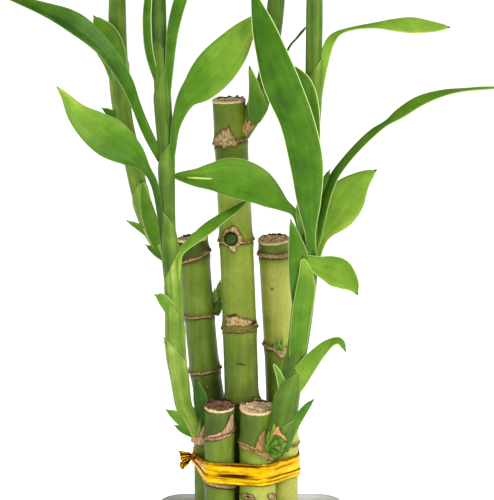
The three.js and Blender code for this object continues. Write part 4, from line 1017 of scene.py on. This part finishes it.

# %% [markdown]
# ### Scales, buds and scars at the foot of a shoot
#
# Where a shoot starts, its first leaves are no more than short pointed scales that lie one over
# the other, dark at their edges. They are blades too, only short and broad, so the same function
# makes them. One bud on the canes is a small bunch of the same scales, and another is still
# closed, a low dome whose green is painted darker towards its rim, as shade. One leaf has a thin
# pale strip near its tip, painted light where light shows through a slit in the blade, and a dry
# pinkish sheath clings to the foot of the left shoot.

# %% Scales and buds
def fan_scales(base, tips, width):
    """Stations of pointed scales that spread from one base to tips of x and z, each before the last."""
    x, y, z = base
    steps = ((0, 0, 0.7), (0.35, 1.4, 1), (0.72, 1.5, 0.62), (1, 0.9, 0.14))
    return [[(x + (tip_x - x) * share, y - out - 0.18 * number * share,
              z + (tip_z - z) * share, width * wide) for share, out, wide in steps]
            for number, (tip_x, tip_z) in enumerate(tips)]


for name, node, slot, material, shade, pale, scales in (
        ("right_foot_scales", "shoot_right", "shoot", scale_skin, 0.38, 0.8, fan_scales(
            (7.4, -19.4, 87.6), [
                (4.9, 91.4), (6.2, 96), (8.4, 99), (10.6, 96.6), (12.7, 94.6), (13.2, 91.6),
                (12.6, 89.2), (11.4, 87), (9.6, 85.6), (9.4, 93.4), (11, 90.6), (9.6, 88.4)], 3.1)),
        ("right_mid_bud", "cane_right_mid", "cane", cuticle, 0.35, 0.35, fan_scales(
            (10.2, 3.6, 119.2), [
                (8.2, 123.4), (11.8, 124.8), (12.4, 122), (9.4, 124.4), (10.3, 122.6)], 1.9)),
        ("left_foot_sheath", "shoot_left", "shoot", pink_base, 0.5, 0, [
            [(-21.4, -5.4, 88.4, 2.2), (-19.4, -7.2, 88, 2.8), (-17.2, -7.9, 88.6, 3),
             (-15.6, -8, 90, 0.8)],
            [(-18.4, -7.2, 88, 2.6), (-17.6, -7.7, 90.4, 2.2), (-16.9, -7.6, 92.6, 1.4),
             (-16.7, -7, 94.6, 0.6)]]),
        # a pale strip on a leaf: painted light, where light shows through a slit in the blade
        ("left_leaf_slit_light", "shoot_right", "shoot", cuticle, 0.9, 0.8, [
            [(-22.8, -7.8, 184.6, 0.4), (-19.6, -8.4, 184.5, 0.7), (-16.2, -9, 184.4, 0.6),
             (-12.8, -9.5, 184.4, 0.3)]])):
    parts = [blade_part(stations, (shade, shade + 0.2 + 0.15 * (number % 3), pale))
             for number, stations in enumerate(scales)]
    make_piece(name, gather(parts), material, node)


def dome_part(middle, radius, height):
    """A low round dome that faces the front, for a bud that has not opened."""
    turn = np.linspace(0, 2 * np.pi, 24, endpoint=False)
    rise = np.linspace(-0.6, np.pi / 2 - 0.08, 9)[:, None]
    wide = radius * np.cos(rise) * (1 + 0.08 * np.cos(3 * turn + 3 * rise))
    deep = height * np.sin(rise) + 0 * turn
    grid = np.array(middle) + np.stack([wide * np.cos(turn), -deep, wide * np.sin(turn)], -1)
    # The shade mark falls from the top of the dome to its rim: painted shade, darker towards the rim.
    return tube(grid, across=turn * radius, along=rise * 2, shade=0.1 * np.sin(rise) - 0.05, inset=5,
                under=0, pale=0, tip=0)


make_piece("tall_bud", dome_part((-7.1, -2.6, 161.5), 1.95, 0.9), scale_skin, "cane_tall")

for name, shoot, material, stand_off, stations in (
        ("right_foot_scar", "shoot_right", orange_base, 1.6, [
            (-2.8, 94, 94.8), (-1.7, 94.4, 97.4), (-0.6, 94.2, 95.6), (1.2, 93.2, 94.2), (2.8, 92, 92.6)]),
        ("center_foot_fibres", "shoot_center", straw_base, 0.3, [
            (-1.7, 199.6, 205.4), (-0.9, 198.8, 203), (0, 198.4, 204.2), (0.9, 197.8, 201.8),
            (1.7, 198, 202.8), (2.5, 198.4, 200.2)])):
    flap = flap_part(smooth_curve(SHOOTS[shoot]["stem"], 200), stations, stand_off, 0.3)
    make_piece(name, flap, material, shoot)

# %% [markdown]
# ## The gold foil tie
#
# The tie is a ribbon of plastic film with a thin coat of metal, pulled round the canes twice and
# twisted at the left. It is a metal to the eye: what it shows is a gold tint of its surroundings,
# broken up by creases. A cloth simulation could crumple it, but a tight ribbon can hardly move, so
# its folds are given one by one: a few long sharp folds along each strand, which wander a little, and
# broad dents between them. The outline it follows is the tightest loop round the canes at that
# height. The free end is a narrow fan of pleats that widens from the knot.

# %% Gold foil
def gold_film(add):
    """Metallised film: full metal and a warm yellow tint, with painted shade and dark reflection:
    brown where it is deeply creased, and mottled where it is crumpled.
    """
    level = add("Mapping", {
        "Vector": add("TexCoord", out="Object"), "Scale": (0.25 / MM, 0.25 / MM, 1 / MM)})
    crumple = add("TexNoise", {"Vector": level, "Scale": 0.9, "Detail": 3, "Roughness": 0.55})
    fold = add("Attribute", out="Fac", attribute_name="fold")
    reflection_and_crease_shade = add("Math", (crumple, 0.5, fold), operation="MULTIPLY_ADD")
    gold = add("ValToRGB", (reflection_and_crease_shade,), [
        (0.12, "#ffd822"), (0.34, "#e0ac0c"), (0.6, "#a46a0e"), (0.85, "#4c2e04")])
    return {"Base Color": gold, "Metallic": 1, "Roughness": add("MapRange", (crumple, 0, 1, 0.16, 0.4)),
            "Normal": add("Bump", {"Height": crumple, "Strength": 0.5, "Distance": 0.5 * MM})}


# %% The loop around the canes
TIE_LEVEL, TIE_HALF = 78.3, 4.1  # the middle of the band and half its height, in mm
TIE_CLEARANCE = 0.42
KNOT = (-21.3, -2.5)
PINCH, PINCH_REACH = 0.5, 9  # by what share the knot narrows the band, and how many mm around it
PINCH_RISE = 3  # mm by which a band pinched to nothing would rise
LOOP_POINTS = 420


def tight_loop():
    """Evenly spaced points on the tightest loop round the canes, and the outward directions."""
    turn = np.linspace(0, 2 * np.pi, 90, endpoint=False)
    points = []
    for cane in CANES.values():
        middle, radius = at_height(cane_course(cane), TIE_LEVEL)
        points += list(middle[:2] + (radius + TIE_CLEARANCE) * np.stack([np.cos(turn), np.sin(turn)], -1))
    hull = np.array([points[index] for index in convex_hull_2d(points)])
    hull = np.roll(hull, -hull[:, 0].argmin(), 0)
    ring = np.vstack([hull, hull[:1]])
    travelled = course_length(ring)
    even = np.linspace(0, travelled[-1], LOOP_POINTS, endpoint=False)
    loop = np.stack([np.interp(even, travelled, ring[:, k]) for k in range(2)], -1)
    step = np.roll(loop, -4, 0) - np.roll(loop, 4, 0)
    return loop, unit(np.stack([step[:, 1], -step[:, 0]], -1))


loop, loop_out = tight_loop()
print("the loop is", round(course_length(loop)[-1], 1), "mm around")

# %% One strand of foil
STRAND_ROWS = 19
RIBBON_ROWS = 26


def foil_strand(low, high, stand_off, folds, seed):
    """A strand between two shares of the band's half height, with a few long folds along it.

    A fold is its share of the strand's height, its depth in mm, the x where it is deepest, and how
    far it reaches to each side.
    """
    x = loop[:, 0]
    pinch = PINCH * bell(np.linalg.norm(loop - KNOT, axis=1), PINCH_REACH)
    base = np.column_stack([loop, TIE_LEVEL + PINCH_RISE * pinch])
    wander, low_wave, high_wave = (
        roughness_at(base, size, seed=number)
        for size, number in ((14, seed), (9, seed + 3), (9, seed + 6)))
    low, high = low + 0.05 * low_wave, high + 0.05 * high_wave
    share = np.linspace(0, 1, STRAND_ROWS)[:, None]
    z = base[:, 2] + TIE_HALF * (1 - pinch) * (low + (high - low) * share)
    dents = roughness_at(np.stack([x / 2 + 0 * z, z * 1.2, 0 * z + seed], -1), 2.6)
    out = stand_off + 0.3 * (1 - (2 * share - 1) ** 6) + 0.16 * dents
    # deep is painted shade and dark reflection: the film is browner at the strand's top and bottom edges,
    # near the knot, in dents and along each fold.
    deep = 0.3 * np.abs(2 * share - 1) ** 8 + 0.08 * bell(x + 19, 3.5) + 0.15 * np.clip(dents, 0, 1)
    for place, depth, deepest, fold_reach in folds:
        sharp = bell(share - place - 0.08 * wander, 0.05) * bell(x - deepest, fold_reach) ** 0.5
        out -= depth * sharp
        deep += 2.5 * depth * sharp
    outward = np.column_stack([loop_out, 0 * x]) + 0 * z[..., None]
    grid = np.stack([x + 0 * z, loop[:, 1] + 0 * z, z], -1) + outward * out[..., None]
    grid, outward, deep = (np.concatenate([part, part[:, :1]], 1) for part in (grid, outward, deep))
    return thin_sheet(grid, outward, 0.12, fold=np.clip(deep, 0, 1))


def foil_ribbon(stations, pleats, depth):
    """A free end of foil with sharp pleats along it, from stations of x, y, z and width."""
    course = smooth_curve(stations, RIBBON_ROWS)
    across, normal, along = (side[:, None] for side in side_frames(course[:, :3]))
    u = np.linspace(-1, 1, 25)
    zigzag = np.abs(((u * pleats / 2 + 0.2 * np.sin(5 * u)) % 1) - 0.5) * 4 - 1
    half = course[:, 3:4] / 2
    place = course[:, None, :3] + across * (half * u)[..., None]
    rough = roughness_at(place, 1.2, seed=4)
    share = np.linspace(0, 1, RIBBON_ROWS)[:, None]
    ragged = 0.7 * share ** 2 * roughness_at(np.stack([u * 4, 0 * u, 0 * u], -1), 1, seed=6)
    lift = depth * zigzag * np.minimum(half / 2, 1) + 0.25 * rough
    # deep is painted shade: the pleats are browner in their valleys and at the ribbon's far end.
    deep = np.clip(0.24 - 0.42 * zigzag + 0.3 * rough + 0.5 * (share > 0.93), 0, 1)
    return thin_sheet(place + normal * lift[..., None] + along * ragged[..., None], normal, 0.14, fold=deep)


strands = [
    foil_strand(-0.4, 1.0, 0.0, [
        (0.88, 0.35, -3, 7), (0.16, 0.4, -6, 4), (0.24, 0.4, -6, 4), (0.6, 0.15, 13, 4),
        (0.45, 0.12, -12, 6)], seed=1),
    foil_strand(-1.0, -0.28, 0.25, [(0.5, 0.15, 6, 9), (0.8, 0.12, -12, 4)], seed=8),
    foil_ribbon([(-20.2, -2.4, 80.2, 3.4), (-21.2, -3, 80.9, 1.7), (-22, -3.6, 81.2, 2.2)], 3, 0.4),
    foil_ribbon([(-21.4, -3.3, 81, 1.8), (-22.6, -4, 81, 3.8), (-24, -4.4, 80.6, 5.6),
                 (-25.4, -4.6, 80.2, 6.9)], 5, 0.6),
    foil_ribbon([(-24.6, -4.2, 79.0, 2.4), (-25, -4.6, 77.8, 1.8), (-24.8, -4.6, 76.6, 0.6)], 1, 0.3),
    foil_ribbon([(-21.4, -2.9, 80, 1.4), (-20.8, -5, 82.4, 1.2), (-20.6, -5.4, 85.3, 0.6)], 1, 0.2),
]
make_piece("foil_tie", gather(strands), make_material("gold foil film", gold_film), "tie")

# %% [markdown]
# ## The bowl
#
# The bowl is white porcelain, cast in a mould and glazed. Its walls swell from the foot to the rim
# and its corners are well rounded. It is a stack of rounded squares, up the outside, over the lip
# and down the inside. Glaze is glass, so it has a sharp gloss, and its surface is never quite
# flat: a faint wave of some millimetres bends its reflections. It ends a little above the foot,
# where the bare ring of porcelain is matt.

# %% Glazed porcelain
def glazed_porcelain(add):
    """White glaze with a slow ripple, bare and matt below the line where the glaze ends."""
    place = add("Mapping", {"Vector": add("TexCoord", out="Object"), "Scale": PER_MM})
    ripple = add("TexNoise", {"Vector": place, "Scale": 1 / 7, "Detail": 2, "Roughness": 0.5})
    grain = add("TexNoise", {"Vector": place, "Scale": 3, "Detail": 2, "Roughness": 0.6})
    height = add("SeparateXYZ", (place,), out="Z")
    waved = add("Math", (grain, 0.8, height), operation="MULTIPLY_ADD")
    glazed = add("MapRange", (waved, 1.9, 2.2))
    white = add("ValToRGB", (ripple,), [(0.3, "#eceeeb"), (0.7, "#f7f7f3")])
    return {"Base Color": add("Mix", {0: glazed, 6: "#ddd2c0", 7: white}, data_type="RGBA"),
            "Roughness": add("MapRange", (glazed, 0, 1, 0.8, 0.1)),
            "Normal": add("Bump", {"Height": ripple, "Strength": 0.15, "Distance": 0.5 * MM}),
            "IOR": 1.5, "Coat Weight": 0.3, "Coat Roughness": 0.04}


# %% The bowl's shape
RIM, FOOT, HEIGHT = 70, 60, 56  # the widths at the rim and the foot, and the height, in mm
WALL, BOTTOM, CORNER = 4.5, 5.5, 10  # the thickness of both, and the corners' radius
CORNER_STEPS = 12


def rounded_square(side, corner, z):
    """A level square outline with round corners."""
    turn = np.linspace(0, np.pi / 2, CORNER_STEPS) + np.arange(4)[:, None] * np.pi / 2
    middles = (side / 2 - corner) * np.array([(1, 1), (-1, 1), (-1, -1), (1, -1)])[:, None]
    outline = (middles + corner * np.stack([np.cos(turn), np.sin(turn)], -1)).reshape(-1, 2)
    return np.column_stack([outline, np.full(len(outline), z)])


def bowl_side(z):
    """The width of the bowl at a height: it widens quickly above its foot and slowly at its rim."""
    return FOOT + (RIM - FOOT) * math.sin(min(z / HEIGHT, 1) * math.pi / 2)


def bowl_part():
    """The bowl from the recess under its foot, up the outside, over the lip and down the inside."""
    lip = HEIGHT - WALL / 2
    rings = [(FOOT - inset, CORNER - less, z) for inset, less, z in (
        (20, 4, 1.2), (12, 2, 1.1), (9.5, 1.5, 0.1), (8.5, 1.5, 0), (3, 0, 0), (1.6, 0, 0.4))]
    rings += [(bowl_side(z), CORNER, z) for z in np.linspace(1.8, lip, 22)]
    rings += [(RIM - WALL + WALL * math.cos(turn), CORNER - WALL / 4, lip + WALL / 2 * math.sin(turn))
              for turn in np.linspace(0.1, np.pi - 0.1, 9)]
    rings += [(bowl_side(z) - 2 * WALL, CORNER - WALL / 2, z) for z in np.linspace(lip - 1, BOTTOM + 3, 12)]
    rings += [(bowl_side(BOTTOM) - 2 * WALL - inset, CORNER - WALL / 2, BOTTOM + up)
              for inset, up in ((1.5, 0.8), (5, 0))]
    return tube(np.array([rounded_square(*ring) for ring in rings]))


glaze = make_material("glazed porcelain", glazed_porcelain)
make_piece("porcelain_bowl", bowl_part(), glaze, "bowl")

# %% [markdown]
# ## The pebbles
#
# The bowl is filled with river pebbles, tumbled smooth and flattish, of mixed greys, whites and
# browns. Each stone is a ball with its own size, stretch and slow dents, turned at random and laid
# flat. They lie in two loose layers over a bed of coarse sand, and leave room for the canes. The
# random draws are seeded, so the bowl is the same in every run.

# %% Tumbled river stone
def river_stone(add):
    """Mottled stone whose colour follows the mark called stone, a number from 0 to 1."""
    place = add("Mapping", {"Vector": add("TexCoord", out="Object"), "Scale": PER_MM})
    mottle = add("TexNoise", {"Vector": place, "Scale": 0.7, "Detail": 5, "Roughness": 0.65})
    speck = add("TexNoise", {"Vector": place, "Scale": 4, "Detail": 3, "Roughness": 0.7})
    skin = add("ValToRGB", (add("Attribute", out="Fac", attribute_name="stone"),), [
        (0.0, "#6d6860"), (0.25, "#a89c88"), (0.5, "#cbc6ba"), (0.75, "#8e7458"), (1.0, "#e2ded4")])
    skin.node.color_ramp.interpolation = "CONSTANT"
    for pattern, low, most, over in ((mottle, 0.35, 0.45, "#5a5248"), (speck, 0.55, 0.35, "#efe9dc")):
        share = add("MapRange", (pattern, low, 0.7, 0, most))
        skin = add("Mix", {0: share, 6: skin, 7: over}, data_type="RGBA")
    return {"Base Color": skin, "Roughness": add("MapRange", (speck, 0, 1, 0.3, 0.65)), "IOR": 1.5,
            "Normal": add("Bump", {"Height": speck, "Strength": 0.2, "Distance": 0.2 * MM})}


# %% Stones in two layers over a bed
STONE_RADIUS = 4.6
STONE_PITCH = 8.4
CANE_CLEARANCE = 7.2  # mm around a cane's middle that stones keep out of
draw = np.random.default_rng(7)

ball = bmesh.new()
bmesh.ops.create_icosphere(ball, subdivisions=3, radius=1)
BALL_POINTS = np.array([corner.co for corner in ball.verts])
BALL_FACES = [[corner.index for corner in face.verts] for face in ball.faces]
ball.free()


def stone_part(place, size, kind):
    """One tumbled stone, flatter than it is wide."""
    dents = 1 + 0.16 * roughness_at(BALL_POINTS * 10, 8, seed=place[0])
    stretch = size * (np.array([1, 0.85, 0.6]) + np.array([0.2, 0.15, 0.15]) * draw.random(3))
    turn, tip = draw.random() * math.pi, (draw.random() - 0.5) * 0.5
    spin = np.array(Matrix.Rotation(turn, 3, "Z") @ Matrix.Rotation(tip, 3, "Y"))
    shape = BALL_POINTS * dents[:, None] * stretch
    return shape @ spin.T + place, BALL_FACES, {"stone": np.full(len(shape), kind)}


def stones():
    """Stones on two jittered grids, kept clear of the canes and of the bowl's wall."""
    middles = [at_height(cane_course(cane), PEBBLE_LEVEL)[0][:2] for cane in CANES.values()]
    parts = []
    for level, shift in ((PEBBLE_LEVEL - 4, 0.5), (PEBBLE_LEVEL + 0.2, 0)):
        reach = bowl_side(level) / 2 - WALL - STONE_RADIUS * 1.05
        for row in range(-4, 5):
            for column in range(-4, 5):
                offset = shift + (0.5 if row % 2 else 0)
                spot = STONE_PITCH * np.array([column + offset, row * 0.9]) + draw.normal(0, 0.9, 2)
                size = STONE_RADIUS * (0.82 + 0.26 * draw.random())
                z = level + 1.2 * (draw.random() - 0.5)
                kind = draw.random()
                spot = np.clip(spot, -reach, reach)
                if min(math.dist(spot, middle) for middle in middles) > CANE_CLEARANCE + size * 0.62:
                    parts.append(stone_part(np.array([*spot, z]), size, kind))
    return parts


def bed_part():
    """A bed of coarse sand under the stones, with a rough top."""
    rings = [rounded_square(bowl_side(z) - 2 * WALL - 0.8, CORNER - 2.5, z)
             for z in np.linspace(BOTTOM + 1.5, PEBBLE_LEVEL - 5, 8)]
    top = rings[-1]
    for share in np.linspace(0.94, 0.05, 20):
        ring = top * (share, share, 1)
        ring[:, 2] += 0.9 * roughness_at(ring, 2.2)
        rings.append(ring)
    return tube(np.array(rings), stone=0.1)


pebble_stone = make_material("tumbled river stone", river_stone)
loose = stones()
make_piece("river_pebbles", gather(loose), pebble_stone, "pebbles")
make_piece("sand_bed", bed_part(), pebble_stone, "pebbles")
print(len(loose), "stones")

# %% [markdown]
# ## The floor
#
# The floor is a wide sheet of matt white paper, and is not part of the plant. As in a studio, it
# has light of its own some way off from the plant, so that the plant stands before pure white
# from every side.

# %% Floor
FLOOR_HALF = 6.0  # metres
FLOOR_LEVEL = -0.0005
FLOOR_CORNERS = ((-1, -1), (1, -1), (1, 1), (-1, 1))


def white_paper(add):
    """Matt paper with light of its own, from 60 mm off the middle and in full from 220 mm on."""
    place = add("Mapping", {"Vector": add("TexCoord", out="Object"), "Scale": PER_MM})
    grain = add("TexNoise", {"Vector": place, "Scale": 0.3, "Detail": 2})
    reach = add("VectorMath", (place,), out="Value", operation="LENGTH")
    return {"Base Color": add("ValToRGB", (grain,), [(0.3, "#fafafa"), (0.7, "#ffffff")]),
            "Roughness": 0.95, "Emission Color": "#ffffff",
            "Emission Strength": add("MapRange", (reach, 60, 220, 0, 0.75))}


sheet = bpy.data.meshes.new("floor")
sheet.from_pydata([(x * FLOOR_HALF, y * FLOOR_HALF, FLOOR_LEVEL) for x, y in FLOOR_CORNERS],
                  [], [(0, 1, 2, 3)])
sheet.materials.append(make_material("matt white paper", white_paper))
new_object("floor", sheet)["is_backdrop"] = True

# %% [markdown]
# ## The size
#
# The dressed plant has to keep the size of the plain solids, so both boxes are printed before
# the frame is closed.

# %% Size and end
visual_box = [list(corner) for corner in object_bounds()]
for label, box in (("solids", cad_box), ("dressed", visual_box)):
    print(label, [[round(v / MM, 1) for v in corner] for corner in box])
